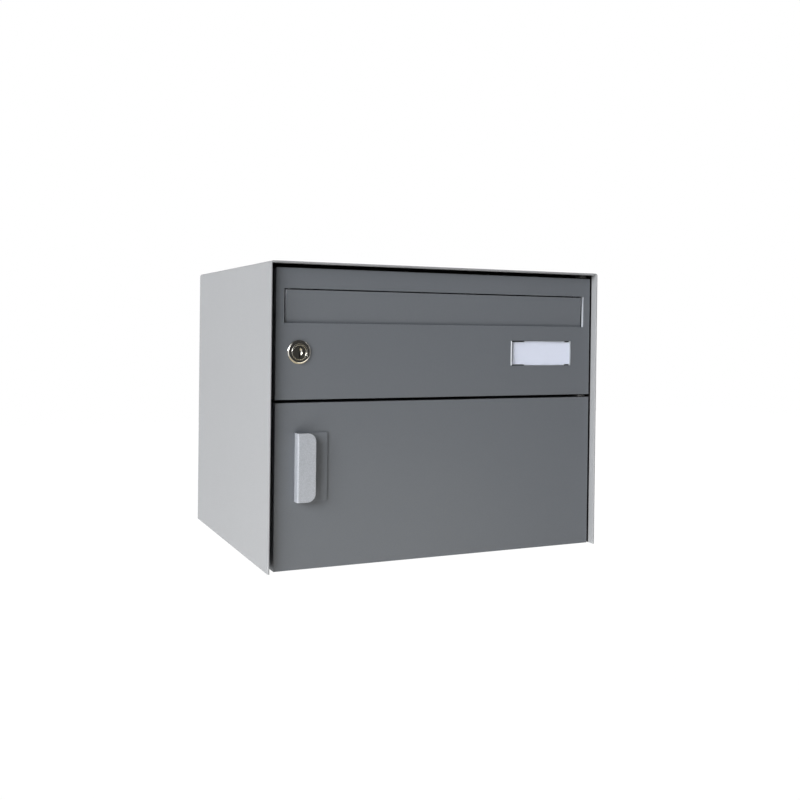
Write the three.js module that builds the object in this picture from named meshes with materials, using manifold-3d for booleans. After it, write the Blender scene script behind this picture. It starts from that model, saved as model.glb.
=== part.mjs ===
// Wall mounted mailbox: a silver sheet-metal sleeve with two hinged doors. The upper door closes the
// letter compartment and holds the letter flap, the cam lock and the name plate. The lower door closes
// the parcel compartment and holds the pull handle.
// Millimetres. X to the right, Y into the wall, Z up; the origin is the centre of the rear face.
import * as THREE from "three";
import { mergeVertices } from "three/addons/utils/BufferGeometryUtils.js";
import Module from "manifold-3d";

const wasm = await Module();
wasm.setup();

// Sleeve and inner sheets
const HALF_WIDTH = 200;
const HALF_HEIGHT = 160;
const DEPTH = 320;
const SHELL_SHEET = 2;
const SHELL_BEND = 3;
const INNER_SHEET = 1.5;
const CLEARANCE = 0.3; // left between pieces that touch
const INSIDE_X = HALF_WIDTH - SHELL_SHEET;
const INSIDE_TOP = HALF_HEIGHT - SHELL_SHEET;
const FIT_X = INSIDE_X - CLEARANCE;
const FIT_TOP = INSIDE_TOP - CLEARANCE;
const REAR_FLANGE = 15;
const FLOOR_FLANGE = 12;
const FLOOR_BOTTOM = -158;
const FLOOR_TOP = FLOOR_BOTTOM + INNER_SHEET;
const SHELF_BOTTOM = 14.6;
const WALL_HOLE_RADIUS = 3.5;
const WALL_HOLE_X = 150;
const WALL_HOLE_Z = 110;

// Front frame behind the doors
const FRAME_FRONT = -290;
const FRAME_REAR = FRAME_FRONT + INNER_SHEET;
const FRAME_LEFT = -183;
const FRAME_RETURN = 12;
const LETTER_OPENING = { left: FRAME_LEFT, right: 185.5, bottom: 25, top: 145 };
const PARCEL_OPENING = { left: FRAME_LEFT, right: 178, bottom: -150, top: 6 };
const SEAL_WIDTH = 7;
const SEAL_FRONT = -295.7;

// Doors: folded pans, hinged at the right
const DOOR_FACE = -DEPTH + 9;
const DOOR_SHEET = 2;
const DOOR_INSIDE = DOOR_FACE + DOOR_SHEET;
const DOOR_REAR = DOOR_FACE + 15;
const DOOR_LEFT = -191.3;
const DOOR_RIGHT = 195.2;
const UPPER_DOOR = { bottom: 17.1, top: 153.6 };
const LOWER_DOOR = { bottom: -HALF_HEIGHT, top: 13.6 };
const HINGE_X = 187;
const HINGE_Y = DOOR_FACE + 6;
const HINGE_SIDE_REAR = DOOR_FACE + 12;
const PIN_RADIUS = 1.75;
const BUSH_BORE = 1.95;
const BUSH_RADIUS = 2.9;
const BUSH_HOLE = 3.2;
const BUSH_FLANGE = 3.6;
const BRACKET_SHEET = 2;
const TAB_FRONT = FRAME_FRONT - CLEARANCE - BRACKET_SHEET;
const BRACKET_LEFT = HINGE_X - 8;
const BRACKET_RIGHT = 195;
const RIVET_HOLE = 1.6;
const RIVET_HEAD = 3;
const RIVET_TAIL = 2.4;
// The bottom bracket reaches into the lower door, so its nose and neck are narrow.
const BRACKETS = [
  {
    name: "hinge_bracket_top",
    plateBottom: 155,
    tabBottom: 145.3,
    tabTop: 157,
    noseRadius: 6,
    neckRight: 6,
    rivets: [[184.5, 150], [191.5, 150]],
  },
  {
    name: "hinge_bracket_middle",
    plateBottom: 14.35,
    tabBottom: 7,
    tabTop: 24,
    noseRadius: 6,
    neckRight: 6,
    rivets: [[188, 10.5], [188, 20.5]],
  },
  {
    name: "hinge_bracket_bottom",
    plateBottom: -155,
    tabBottom: -155,
    tabTop: -137,
    noseRadius: 3.7,
    neckRight: 2,
    rivets: [[188, -148], [188, -141]],
  },
];

// Letter slot and flap
const SLOT = { left: -182.6, right: 186.2, bottom: 96.6, top: 132.5 };
const SLOT_RETURN_REAR = DOOR_FACE + 4.2; // both ends of the slot are folded inward
const FLAP = { left: -180.6, right: 183.8 };
const FLAP_AXIS_Y = -305;
const FLAP_AXIS_Z = 127.8;
const FLAP_FRONT = -5.2; // from the flap's axis, as are the four values below it
const FLAP_TOP = 3.6;
const FLAP_BOTTOM = -35.5;
const FLAP_SIDE_REAR = -0.7;
const FLAP_TOP_REAR = 2;
const FLAP_LEAN = THREE.MathUtils.degToRad(4);
const FLAP_ROD_RADIUS = 1.5;
const ROD_LEFT = DOOR_LEFT + 2.3;
const ROD_RIGHT = DOOR_RIGHT - 3.2;
const FLAP_EYE_BORE = 1.7;
const FLAP_EYE_RADIUS = 4;
const SPRING_RADIUS = 2.6;
const SPRING_WIRE = 0.4;
const SPRING_LEFT = -176;
const SPRING_RIGHT = -168;

// Cam lock
const LOCK_X = -166.3;
const LOCK_Z = 66.5;
const LOCK_FLANGE_RADIUS = 12.7;
const LOCK_FLANGE_HEIGHT = 1.9;
const BARREL_RADIUS = 9.2;
const BARREL_REAR = -287.5;
const PLUG_RADIUS = 7;
const PLUG_HEAD_RADIUS = 8.4;
const PLUG_SEAT = -311.2;
const PLUG_FRONT = -313.6;
const PLUG_REAR = -286.5;
const LOCK_BORE_CLEARANCE = 0.2;
const KEYWAY_HALF_HEIGHT = 5.5;
const KEYWAY_HALF_WIDTH = 0.9;
const KEYWAY_DEPTH = 16;
const CAM_FRONT = PLUG_REAR + CLEARANCE;
const CAM_SHEET = 2;
const CAM_REAR = CAM_FRONT + CAM_SHEET;
const CAM_REACH = 27;
const CAM_HALF_WIDTH = 7;
const CAM_SQUARE = 3.5;
const CAM_SCREW_RADIUS = 1.5;
const STRIKE_HALF_HEIGHT = 16;

// Name plate
const PLATE = { left: 87.8, right: 169, bottom: 51.5, top: 79.6 };
const COVER_FRONT = DOOR_FACE - 0.5;
const COVER_REAR = DOOR_FACE + 1.5;
const NOTCH_DEPTH = 1.3;
const CARD_SHEET = 0.25;
const HOLDER_MARGIN = 4;
const HOLDER_SHEET = 1.8;

// Handle
const HANDLE_LEFT = -169.8;
const HANDLE = { bottom: -88.7, top: -17.3 };
const HANDLE_MIDDLE = (HANDLE.bottom + HANDLE.top) / 2;
const HANDLE_WIDTH = 19.9;
const HANDLE_SHEET = 2;
const HANDLE_BEND = 2;
const HANDLE_FRONT = -DEPTH - 1.5;
const HANDLE_CORNER = 9;
const BASE_RIGHT = -134.2;
const BASE_SHEET = 1.4;
const STUD_RADIUS = 2;
const STUD_X = -159;
const STUD_HEIGHTS = [HANDLE_MIDDLE - 24, HANDLE_MIDDLE + 24];

// Magnetic catch of the lower door
const CATCH = { left: -182.6, right: -170.6, front: -300.3, rear: -284, halfHeight: 22 };
const MAGNET_FRONT = -301.2;
const CATCH_WALL = 1.5;
const CATCH_EAR = 2;
const POCKET_HALF_HEIGHT = 19;
const COUNTER_FOOT = 10;
const CATCH_SCREWS = [[-189.5, HANDLE_MIDDLE - 14], [-189.5, HANDLE_MIDDLE + 14]];

const ROUND_SEGMENTS = 32;
const SMALL_SEGMENTS = 16;
const BEND_SEGMENTS = 4;
const THROUGH = 1; // how far a cut runs past the faces it cuts

// ---------------------------------------------------------------- looks

function finish(color, roughness, metalness, extra = {}) {
  return new THREE.MeshStandardMaterial({ color, roughness, metalness, ...extra });
}

const silverPaint = finish(0xc4c6c9, 0.45, 0.3);
const greyPaint = finish(0x6c6f72, 0.5, 0.2);
const blackPaint = finish(0x18191b, 0.6, 0);
const rubber = finish(0x101112, 0.85, 0);
const zinc = finish(0xb4b8ba, 0.4, 0.9);
const nickel = finish(0xb9b5aa, 0.2, 1);
const nylon = finish(0xe4e2da, 0.5, 0);
const clearPlastic = finish(0xf2f5fa, 0.1, 0, { transparent: true, opacity: 0.35 });
const paper = finish(0xe9ebf4, 0.9, 0);
const anodised = finish(0xb4b9c1, 0.35, 0.8);

// ---------------------------------------------------------------- shapes

// A closed geometry as a solid, facing out whichever way its profile ran. A solid stays as it is.
function solid(shape) {
  if (!shape.isBufferGeometry) return shape;
  shape.deleteAttribute("normal");
  shape.deleteAttribute("uv");
  const merged = mergeVertices(shape, 1e-4);
  const corners = merged.index.array;
  const faces = [];
  for (let i = 0; i < corners.length; i += 3) {
    const [a, b, c] = corners.slice(i, i + 3);
    if (a !== b && b !== c && c !== a) faces.push([a, b, c]);
  }
  const vertProperties = merged.attributes.position.array;
  const build = (list) => {
    const triVerts = new Uint32Array(list.flat());
    return new wasm.Manifold(new wasm.Mesh({ numProp: 3, vertProperties, triVerts }));
  };
  const made = build(faces);
  return made.volume() > 0 ? made : build(faces.map(([a, b, c]) => [a, c, b]));
}

function joined(...shapes) {
  return shapes.map(solid).reduce((sum, shape) => sum.add(shape));
}

function without(body, ...cuts) {
  return cuts.map(solid).reduce((rest, cut) => rest.subtract(cut), solid(body));
}

// A block between its lowest and its highest corner.
function block([x0, y0, z0], [x1, y1, z1]) {
  const box = new THREE.BoxGeometry(x1 - x0, y1 - y0, z1 - z0);
  return box.translate((x0 + x1) / 2, (y0 + y1) / 2, (z0 + z1) / 2);
}

function extruded(outline, depth) {
  return new THREE.ExtrudeGeometry(outline, { depth, bevelEnabled: false, curveSegments: BEND_SEGMENTS });
}

// An outline in X and Z, given thickness from one Y to another.
function frontPlate(outline, yFront, yRear) {
  return extruded(outline, yRear - yFront).rotateX(Math.PI / 2).translate(0, yRear, 0);
}

// An outline in X and Y, given thickness from one Z to another.
function levelPlate(outline, zBottom, zTop) {
  return extruded(outline, zTop - zBottom).translate(0, 0, zBottom);
}

// A profile of [radius, distance] pairs turned about the Y axis.
function turned(profile, segments = ROUND_SEGMENTS) {
  return new THREE.LatheGeometry(profile.map(([radius, y]) => new THREE.Vector2(radius, y)), segments);
}

// A round bar along Y.
function bar(radius, start, end, segments) {
  return turned([[0, start], [radius, start], [radius, end], [0, end]], segments);
}

// A hexagonal block along Y.
function hexagon(acrossFlats, start, end) {
  return bar(acrossFlats / Math.sqrt(3), start, end, 6);
}

// Turns a shape made along Y to stand along Z, or to lie along X.
function upright(shape) {
  return shape.rotateX(Math.PI / 2);
}

function sideways(shape) {
  return shape.rotateZ(-Math.PI / 2);
}

function rectangle({ left, right, bottom, top }) {
  const outline = new THREE.Shape();
  outline.moveTo(left, bottom).lineTo(right, bottom).lineTo(right, top).lineTo(left, top).closePath();
  return outline;
}

// A named mesh with its own copy of the material.
function piece(name, shape, look) {
  const { vertProperties, triVerts } = solid(shape).getMesh();
  const geometry = new THREE.BufferGeometry();
  geometry.setAttribute("position", new THREE.BufferAttribute(vertProperties, 3));
  geometry.setIndex(new THREE.BufferAttribute(triVerts, 1));
  geometry.computeVertexNormals();
  const mesh = new THREE.Mesh(geometry, look.clone());
  mesh.name = name;
  return mesh;
}

// ---------------------------------------------------------------- sleeve and inner sheets

// Left side, top and right side folded from one sheet, with round outer bends.
function outerShell() {
  const inner = SHELL_BEND - SHELL_SHEET;
  const bendX = HALF_WIDTH - SHELL_BEND;
  const bendZ = HALF_HEIGHT - SHELL_BEND;
  const quarter = Math.PI / 2;
  const outline = new THREE.Shape();
  outline.moveTo(-HALF_WIDTH, -HALF_HEIGHT);
  outline.lineTo(-INSIDE_X, -HALF_HEIGHT);
  outline.lineTo(-INSIDE_X, bendZ);
  outline.absarc(-bendX, bendZ, inner, 2 * quarter, quarter, true);
  outline.lineTo(bendX, INSIDE_TOP);
  outline.absarc(bendX, bendZ, inner, quarter, 0, true);
  outline.lineTo(INSIDE_X, -HALF_HEIGHT);
  outline.lineTo(HALF_WIDTH, -HALF_HEIGHT);
  outline.lineTo(HALF_WIDTH, bendZ);
  outline.absarc(bendX, bendZ, SHELL_BEND, 0, quarter, false);
  outline.lineTo(-bendX, HALF_HEIGHT);
  outline.absarc(-bendX, bendZ, SHELL_BEND, quarter, 2 * quarter, false);
  outline.closePath();
  return piece("outer_shell", frontPlate(outline, -DEPTH, 0), silverPaint);
}

// Tray that closes the rear: its flanges stand forward along the sleeve, and it is drilled for the wall.
function rearPanel() {
  const bottom = FLOOR_TOP + CLEARANCE;
  const tray = block([-FIT_X, -REAR_FLANGE, bottom], [FIT_X, 0, FIT_TOP]);
  const inside = FIT_X - INNER_SHEET;
  const hollow = block(
    [-inside, -REAR_FLANGE - THROUGH, bottom + INNER_SHEET],
    [inside, -INNER_SHEET, FIT_TOP - INNER_SHEET],
  );
  const holes = [-WALL_HOLE_X, WALL_HOLE_X].flatMap((x) =>
    [-WALL_HOLE_Z, WALL_HOLE_Z].map((z) =>
      bar(WALL_HOLE_RADIUS, -INNER_SHEET - THROUGH, THROUGH).translate(x, 0, z),
    ),
  );
  return piece("rear_panel", without(tray, hollow, ...holes), silverPaint);
}

// A level sheet between the sides, narrower beside the frame's returns and the rear panel's flanges,
// with a flange along each side from zFlange to the sheet.
function levelSheet(yFront, yRear, zBottom, zFlange) {
  const zTop = zBottom + INNER_SHEET;
  const narrow = FIT_X - INNER_SHEET - CLEARANCE;
  const wideFront = FRAME_REAR + FRAME_RETURN + CLEARANCE;
  const wideRear = -REAR_FLANGE - CLEARANCE;
  const flange = (x) =>
    block([x, wideFront, Math.min(zBottom, zFlange)], [x + INNER_SHEET, wideRear, Math.max(zTop, zFlange)]);
  return joined(
    block([-narrow, yFront, zBottom], [narrow, yRear, zTop]),
    block([-FIT_X, wideFront, zBottom], [FIT_X, wideRear, zTop]),
    flange(-FIT_X),
    flange(FIT_X - INNER_SHEET),
  );
}

function bottomPanel() {
  const sheet = levelSheet(FRAME_FRONT, 0, FLOOR_BOTTOM, FLOOR_TOP + FLOOR_FLANGE);
  return piece("bottom_panel", sheet, silverPaint);
}

// Shelf between the compartments, stiffened by a lip turned down behind the front frame.
function dividerShelf() {
  const yFront = FRAME_REAR + CLEARANCE;
  const narrow = FIT_X - INNER_SHEET - CLEARANCE;
  const sheet = levelSheet(yFront, -INNER_SHEET - CLEARANCE, SHELF_BOTTOM, SHELF_BOTTOM - FLOOR_FLANGE);
  const lipEnd = PARCEL_OPENING.right;
  const lip = block([-lipEnd, yFront, SHELF_BOTTOM - 8], [lipEnd, yFront + INNER_SHEET, SHELF_BOTTOM + 1]);
  return piece("divider_shelf", joined(sheet, lip), silverPaint);
}

// Black frame behind the doors: one sheet with two openings, returned along the sides and the top.
function frontFrame() {
  const bottom = FLOOR_TOP + CLEARANCE;
  const outline = rectangle({ left: -FIT_X, right: FIT_X, bottom, top: FIT_TOP });
  outline.holes.push(rectangle(LETTER_OPENING), rectangle(PARCEL_OPENING));
  const rear = FRAME_REAR + FRAME_RETURN;
  const inside = FIT_X - INNER_SHEET;
  const fixings = [...BRACKETS.flatMap(({ rivets }) => rivets), ...CATCH_SCREWS];
  const hole = bar(RIVET_HOLE, FRAME_FRONT - THROUGH, FRAME_REAR + THROUGH, SMALL_SEGMENTS);
  const frame = joined(
    frontPlate(outline, FRAME_FRONT, FRAME_REAR),
    block([-FIT_X, FRAME_FRONT, bottom], [-inside, rear, FIT_TOP]),
    block([inside, FRAME_FRONT, bottom], [FIT_X, rear, FIT_TOP]),
    block([-FIT_X, FRAME_FRONT, FIT_TOP - INNER_SHEET], [FIT_X, rear, FIT_TOP]),
  );
  const holes = fixings.map(([x, z]) => hole.clone().translate(x, 0, z));
  return piece("front_frame", without(frame, ...holes), blackPaint);
}

// Rubber strips on the frame that the doors' folded edges close on. The hinge side has none.
function doorSeal(name, door, hasBottomStrip) {
  const left = DOOR_LEFT - 2;
  const right = PARCEL_OPENING.right;
  const rear = FRAME_FRONT - CLEARANCE;
  const top = door.top - CLEARANCE;
  const bottom = hasBottomStrip ? door.bottom + CLEARANCE : PARCEL_OPENING.bottom;
  const lip = SEAL_WIDTH - 2;
  const strips = [
    block([left, SEAL_FRONT, bottom], [left + SEAL_WIDTH, rear, top]),
    block([left, SEAL_FRONT, top - lip], [right, rear, top]),
  ];
  if (hasBottomStrip) strips.push(block([left, SEAL_FRONT, bottom], [right, rear, bottom + lip]));
  return piece(name, joined(...strips), rubber);
}

// ---------------------------------------------------------------- hinges

// One angle bracket: a level plate with a round nose for the pin, and a tab on the frame's face.
function hingeBracket({ name, plateBottom, tabBottom, tabTop, noseRadius, neckRight, rivets }) {
  const plateTop = plateBottom + BRACKET_SHEET;
  const tabRear = TAB_FRONT + BRACKET_SHEET;
  const outline = new THREE.Shape();
  outline.moveTo(BRACKET_LEFT, tabRear);
  outline.lineTo(BRACKET_LEFT, HINGE_Y);
  outline.lineTo(HINGE_X - noseRadius, HINGE_Y);
  outline.absarc(HINGE_X, HINGE_Y, noseRadius, Math.PI, 2 * Math.PI, false);
  outline.lineTo(HINGE_X + neckRight, HINGE_Y + noseRadius);
  outline.lineTo(HINGE_X + neckRight, tabRear);
  outline.closePath();
  const plate = levelPlate(outline, plateBottom, plateTop);
  const tab = block([BRACKET_LEFT, TAB_FRONT, tabBottom], [BRACKET_RIGHT, tabRear, tabTop]);
  const pinHole = upright(bar(PIN_RADIUS + CLEARANCE, plateBottom - THROUGH, plateTop + THROUGH));
  const rivetHole = bar(RIVET_HOLE, TAB_FRONT - THROUGH, tabRear + THROUGH, SMALL_SEGMENTS);
  const rivetHoles = rivets.map(([x, z]) => rivetHole.clone().translate(x, 0, z));
  const bracket = without(joined(plate, tab), pinHole.translate(HINGE_X, HINGE_Y, 0), ...rivetHoles);
  return piece(name, bracket, blackPaint);
}

function hingePin(name, bottom, top) {
  return piece(name, upright(bar(PIN_RADIUS, bottom, top)).translate(HINGE_X, HINGE_Y, 0), blackPaint);
}

// Blind rivet that holds a bracket: a head in front of the tab and a tail behind the frame.
function bracketRivet(name, [x, z]) {
  const head = TAB_FRONT - CLEARANCE;
  const tail = FRAME_REAR + CLEARANCE;
  const profile = [
    [0, head - 1],
    [RIVET_HEAD - 1, head - 1],
    [RIVET_HEAD, head],
    [RIVET_HOLE - CLEARANCE, head],
    [RIVET_HOLE - CLEARANCE, tail],
    [RIVET_TAIL, tail],
    [RIVET_TAIL, tail + 2],
    [0, tail + 2],
  ];
  return piece(name, turned(profile, SMALL_SEGMENTS).translate(x, 0, z), blackPaint);
}

// Nylon bush in a door's folded edge: a sleeve through the sheet and a flange inside the door.
// The inside lies in the direction of zStep from the edge's outer face.
function hingeBush(name, outerFace, zStep) {
  const flangeStart = DOOR_SHEET + CLEARANCE;
  const flangeEnd = flangeStart + 1;
  const profile = [
    [BUSH_BORE, 0],
    [BUSH_RADIUS, 0],
    [BUSH_RADIUS, flangeStart],
    [BUSH_FLANGE, flangeStart],
    [BUSH_FLANGE, flangeEnd],
    [BUSH_BORE, flangeEnd],
    [BUSH_BORE, 0],
  ].map(([radius, distance]) => [radius, outerFace + zStep * distance]);
  return piece(name, upright(turned(profile)).translate(HINGE_X, HINGE_Y, 0), nylon);
}

// ---------------------------------------------------------------- doors

// A folded pan, open to the rear, with shallower edges near the hinge and a bush hole top and bottom.
function doorPan({ bottom, top }) {
  const inner = { left: DOOR_LEFT + DOOR_SHEET, right: DOOR_RIGHT - DOOR_SHEET };
  const bushHole = (start, end) => upright(bar(BUSH_HOLE, start, end)).translate(HINGE_X, HINGE_Y, 0);
  return without(
    block([DOOR_LEFT, DOOR_FACE, bottom], [DOOR_RIGHT, DOOR_REAR, top]),
    block(
      [inner.left, DOOR_INSIDE, bottom + DOOR_SHEET],
      [inner.right, DOOR_REAR + THROUGH, top - DOOR_SHEET],
    ),
    block(
      [HINGE_X - 4, HINGE_SIDE_REAR, bottom - THROUGH],
      [DOOR_RIGHT + THROUGH, DOOR_REAR + THROUGH, top + THROUGH],
    ),
    bushHole(bottom - THROUGH, bottom + DOOR_SHEET + THROUGH),
    bushHole(top - DOOR_SHEET - THROUGH, top + THROUGH),
  );
}

function cutThroughDoor(outline) {
  return frontPlate(outline, DOOR_FACE - THROUGH, DOOR_INSIDE + THROUGH);
}

function holeThroughDoor(radius, x, z) {
  return bar(radius, DOOR_FACE - THROUGH, DOOR_INSIDE + THROUGH).translate(x, 0, z);
}

function upperDoorPanel() {
  const window = {
    left: PLATE.left - CLEARANCE,
    right: PLATE.right + CLEARANCE,
    bottom: PLATE.bottom - CLEARANCE,
    top: PLATE.top + CLEARANCE,
  };
  const slotReturn = (left) =>
    block([left, DOOR_FACE, SLOT.bottom], [left + DOOR_SHEET, SLOT_RETURN_REAR, SLOT.top]);
  const panel = without(
    doorPan(UPPER_DOOR),
    cutThroughDoor(rectangle(SLOT)),
    cutThroughDoor(rectangle(window)),
    holeThroughDoor(BARREL_RADIUS + CLEARANCE, LOCK_X, LOCK_Z),
  );
  const folded = joined(panel, slotReturn(SLOT.left - DOOR_SHEET), slotReturn(SLOT.right));
  return piece("upper_door_panel", folded, greyPaint);
}

// The hinge side edge stops above the lower bracket, which reaches into the pan.
function lowerDoorPanel() {
  const handleSlot = {
    left: HANDLE_LEFT - CLEARANCE,
    right: HANDLE_LEFT + HANDLE_SHEET + CLEARANCE,
    bottom: HANDLE.bottom - CLEARANCE,
    top: HANDLE.top + CLEARANCE,
  };
  const bracketNotch = block(
    [DOOR_RIGHT - DOOR_SHEET - THROUGH, DOOR_INSIDE, LOWER_DOOR.bottom + DOOR_SHEET],
    [DOOR_RIGHT + THROUGH, DOOR_REAR + THROUGH, LOWER_DOOR.bottom + 10],
  );
  const panel = without(
    doorPan(LOWER_DOOR),
    bracketNotch,
    cutThroughDoor(rectangle(handleSlot)),
    ...STUD_HEIGHTS.map((z) => holeThroughDoor(STUD_RADIUS + CLEARANCE, STUD_X, z)),
  );
  return piece("lower_door_panel", panel, greyPaint);
}

// ---------------------------------------------------------------- letter flap, about its own axis

// Sheet flap with folded sides, a folded top and a rolled eye at each end. The top is cut away
// where the spring sits.
function letterFlap() {
  const sheet = INNER_SHEET;
  const { left, right } = FLAP;
  const faceRear = FLAP_FRONT + sheet;
  const side = (x) =>
    joined(
      block([x, FLAP_FRONT, FLAP_BOTTOM], [x + sheet, FLAP_SIDE_REAR, FLAP_TOP]),
      sideways(bar(FLAP_EYE_RADIUS, x, x + sheet)),
    );
  const flap = joined(
    block([left, FLAP_FRONT, FLAP_BOTTOM], [right, faceRear, FLAP_TOP]),
    block([left, FLAP_FRONT, FLAP_TOP - sheet], [right, FLAP_TOP_REAR, FLAP_TOP]),
    block([left, FLAP_FRONT, FLAP_BOTTOM], [right, faceRear + sheet, FLAP_BOTTOM + sheet]),
    side(left),
    side(right - sheet),
  );
  const springGap = block(
    [SPRING_LEFT - 2, faceRear, FLAP_TOP - sheet - THROUGH],
    [SPRING_RIGHT + 2, FLAP_TOP_REAR + THROUGH, FLAP_TOP + THROUGH],
  );
  const bore = sideways(bar(FLAP_EYE_BORE, left - THROUGH, right + THROUGH));
  return piece("letter_flap", without(flap, bore, springGap), greyPaint);
}

// Small angles behind the door that carry the flap's rod; the tab stands beside the flap.
function flapBracket(name, { tabLeft, baseLeft, baseRight }) {
  const front = DOOR_INSIDE + CLEARANCE - FLAP_AXIS_Y;
  const tabRight = tabLeft + INNER_SHEET;
  const bracket = joined(
    block([baseLeft, front, -5], [baseRight, front + INNER_SHEET, 12]),
    block([tabLeft, front, -5], [tabRight, 5, 5]),
  );
  const bore = sideways(bar(FLAP_EYE_BORE + 0.1, tabLeft - THROUGH, tabRight + THROUGH));
  return piece(name, without(bracket, bore), zinc);
}

function flapRod() {
  return piece("flap_rod", sideways(bar(FLAP_ROD_RADIUS, ROD_LEFT, ROD_RIGHT)), zinc);
}

// Torsion spring round the rod, with one tail that bears on the back of the door.
function flapSpring() {
  const turns = 6;
  const stepsPerTurn = 12;
  const points = [];
  for (let i = 0; i <= turns * stepsPerTurn; i += 1) {
    const angle = (2 * Math.PI * i) / stepsPerTurn;
    const x = SPRING_LEFT + ((SPRING_RIGHT - SPRING_LEFT) * i) / (turns * stepsPerTurn);
    points.push(new THREE.Vector3(x, -SPRING_RADIUS * Math.cos(angle), -SPRING_RADIUS * Math.sin(angle)));
  }
  for (const height of [3, 6, 9]) points.unshift(new THREE.Vector3(SPRING_LEFT, -SPRING_RADIUS, height));
  const section = new THREE.Shape();
  section.absarc(0, 0, SPRING_WIRE, 0, 2 * Math.PI, false);
  const wire = new THREE.ExtrudeGeometry(section, {
    steps: points.length,
    curveSegments: 3,
    bevelEnabled: false,
    extrudePath: new THREE.CatmullRomCurve3(points),
  });
  return piece("flap_spring", wire, zinc);
}

// Pad on the back of the door that the flap closes on.
function flapBuffer(name, x) {
  const front = DOOR_INSIDE + CLEARANCE;
  const pad = block([x - 10, front, SLOT.bottom - 4.3], [x + 10, front + 0.55, SLOT.bottom - 0.4]);
  return piece(name, pad, rubber);
}

// ---------------------------------------------------------------- cam lock, about its own axis

// Barrel with a flange that falls away in a curve from a flat face to its rim.
function lockBody() {
  const seat = DOOR_FACE - CLEARANCE;
  const front = seat - LOCK_FLANGE_HEIGHT;
  const bore = PLUG_RADIUS + LOCK_BORE_CLEARANCE;
  const headBore = PLUG_HEAD_RADIUS + LOCK_BORE_CLEARANCE;
  const body = turned([
    [bore, BARREL_REAR],
    [bore, PLUG_SEAT],
    [headBore, PLUG_SEAT],
    [headBore, front],
    [LOCK_FLANGE_RADIUS - 1.9, front],
    [LOCK_FLANGE_RADIUS - 1.2, front + 0.2],
    [LOCK_FLANGE_RADIUS - 0.6, front + 0.57],
    [LOCK_FLANGE_RADIUS - 0.2, front + 0.96],
    [LOCK_FLANGE_RADIUS, front + 1.25],
    [LOCK_FLANGE_RADIUS, seat],
    [BARREL_RADIUS, seat],
    [BARREL_RADIUS, BARREL_REAR],
    [bore, BARREL_REAR],
  ]);
  return piece("lock_body", body, nickel);
}

// Plug with a raised lip, a dished face with the keyway, and a square at the rear for the cam.
function lockPlug() {
  const headRear = PLUG_SEAT - CLEARANCE;
  const dish = PLUG_FRONT + 0.6;
  const plug = turned([
    [0, PLUG_REAR],
    [PLUG_RADIUS, PLUG_REAR],
    [PLUG_RADIUS, headRear],
    [PLUG_HEAD_RADIUS, headRear],
    [PLUG_HEAD_RADIUS, PLUG_FRONT + 0.5],
    [PLUG_HEAD_RADIUS - 0.4, PLUG_FRONT],
    [PLUG_HEAD_RADIUS - 1, PLUG_FRONT],
    [PLUG_HEAD_RADIUS - 1.3, PLUG_FRONT + 0.4],
    [PLUG_HEAD_RADIUS - 2, dish],
    [0, dish],
  ]);
  const squareEnd = CAM_REAR - 0.2;
  const square = block([-CAM_SQUARE, PLUG_REAR - 1, -CAM_SQUARE], [CAM_SQUARE, squareEnd, CAM_SQUARE]);
  const keyway = block(
    [-KEYWAY_HALF_WIDTH, PLUG_FRONT - THROUGH, -KEYWAY_HALF_HEIGHT],
    [KEYWAY_HALF_WIDTH, PLUG_FRONT + KEYWAY_DEPTH, KEYWAY_HALF_HEIGHT],
  );
  const screwHole = bar(CAM_SCREW_RADIUS + CLEARANCE, PLUG_REAR - 5, CAM_REAR + THROUGH, SMALL_SEGMENTS);
  return piece("lock_plug", without(joined(plug, square), keyway, screwHole), nickel);
}

// The cam hangs down with the lock open.
function lockCam() {
  const outline = new THREE.Shape();
  outline.moveTo(-CAM_HALF_WIDTH, -CAM_REACH);
  outline.lineTo(CAM_HALF_WIDTH, -CAM_REACH);
  outline.lineTo(CAM_HALF_WIDTH, 0);
  outline.absarc(0, 0, CAM_HALF_WIDTH, 0, Math.PI, false);
  outline.closePath();
  const hole = CAM_SQUARE + CLEARANCE;
  outline.holes.push(rectangle({ left: -hole, right: hole, bottom: -hole, top: hole }));
  return piece("lock_cam", frontPlate(outline, CAM_FRONT, CAM_REAR), zinc);
}

function camScrew() {
  const head = CAM_REAR + CLEARANCE;
  const screw = turned([
    [0, PLUG_REAR - 4],
    [CAM_SCREW_RADIUS, PLUG_REAR - 4],
    [CAM_SCREW_RADIUS, head],
    [CAM_SQUARE + 2, head],
    [CAM_SQUARE + 2, head + 1.4],
    [CAM_SQUARE + 1.2, head + 2],
    [0, head + 2],
  ], 16);
  return piece("cam_screw", without(screw, block([-0.6, head + 1, -6], [0.6, head + 3, 6])), zinc);
}

function lockNut() {
  const front = DOOR_INSIDE + CLEARANCE;
  const rear = front + 4;
  const bore = bar(BARREL_RADIUS + CLEARANCE, front - THROUGH, rear + THROUGH);
  return piece("lock_nut", without(hexagon(24, front, rear), bore), zinc);
}

// Wear plate behind the frame that the cam turns against.
function lockStrike() {
  const front = FRAME_REAR + CLEARANCE;
  const left = -FIT_X + INNER_SHEET + CLEARANCE;
  const plate = block(
    [left, front, LOCK_Z - STRIKE_HALF_HEIGHT],
    [FRAME_LEFT + 3, front + INNER_SHEET, LOCK_Z + STRIKE_HALF_HEIGHT],
  );
  return piece("lock_strike", plate, zinc);
}

// ---------------------------------------------------------------- name plate

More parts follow.
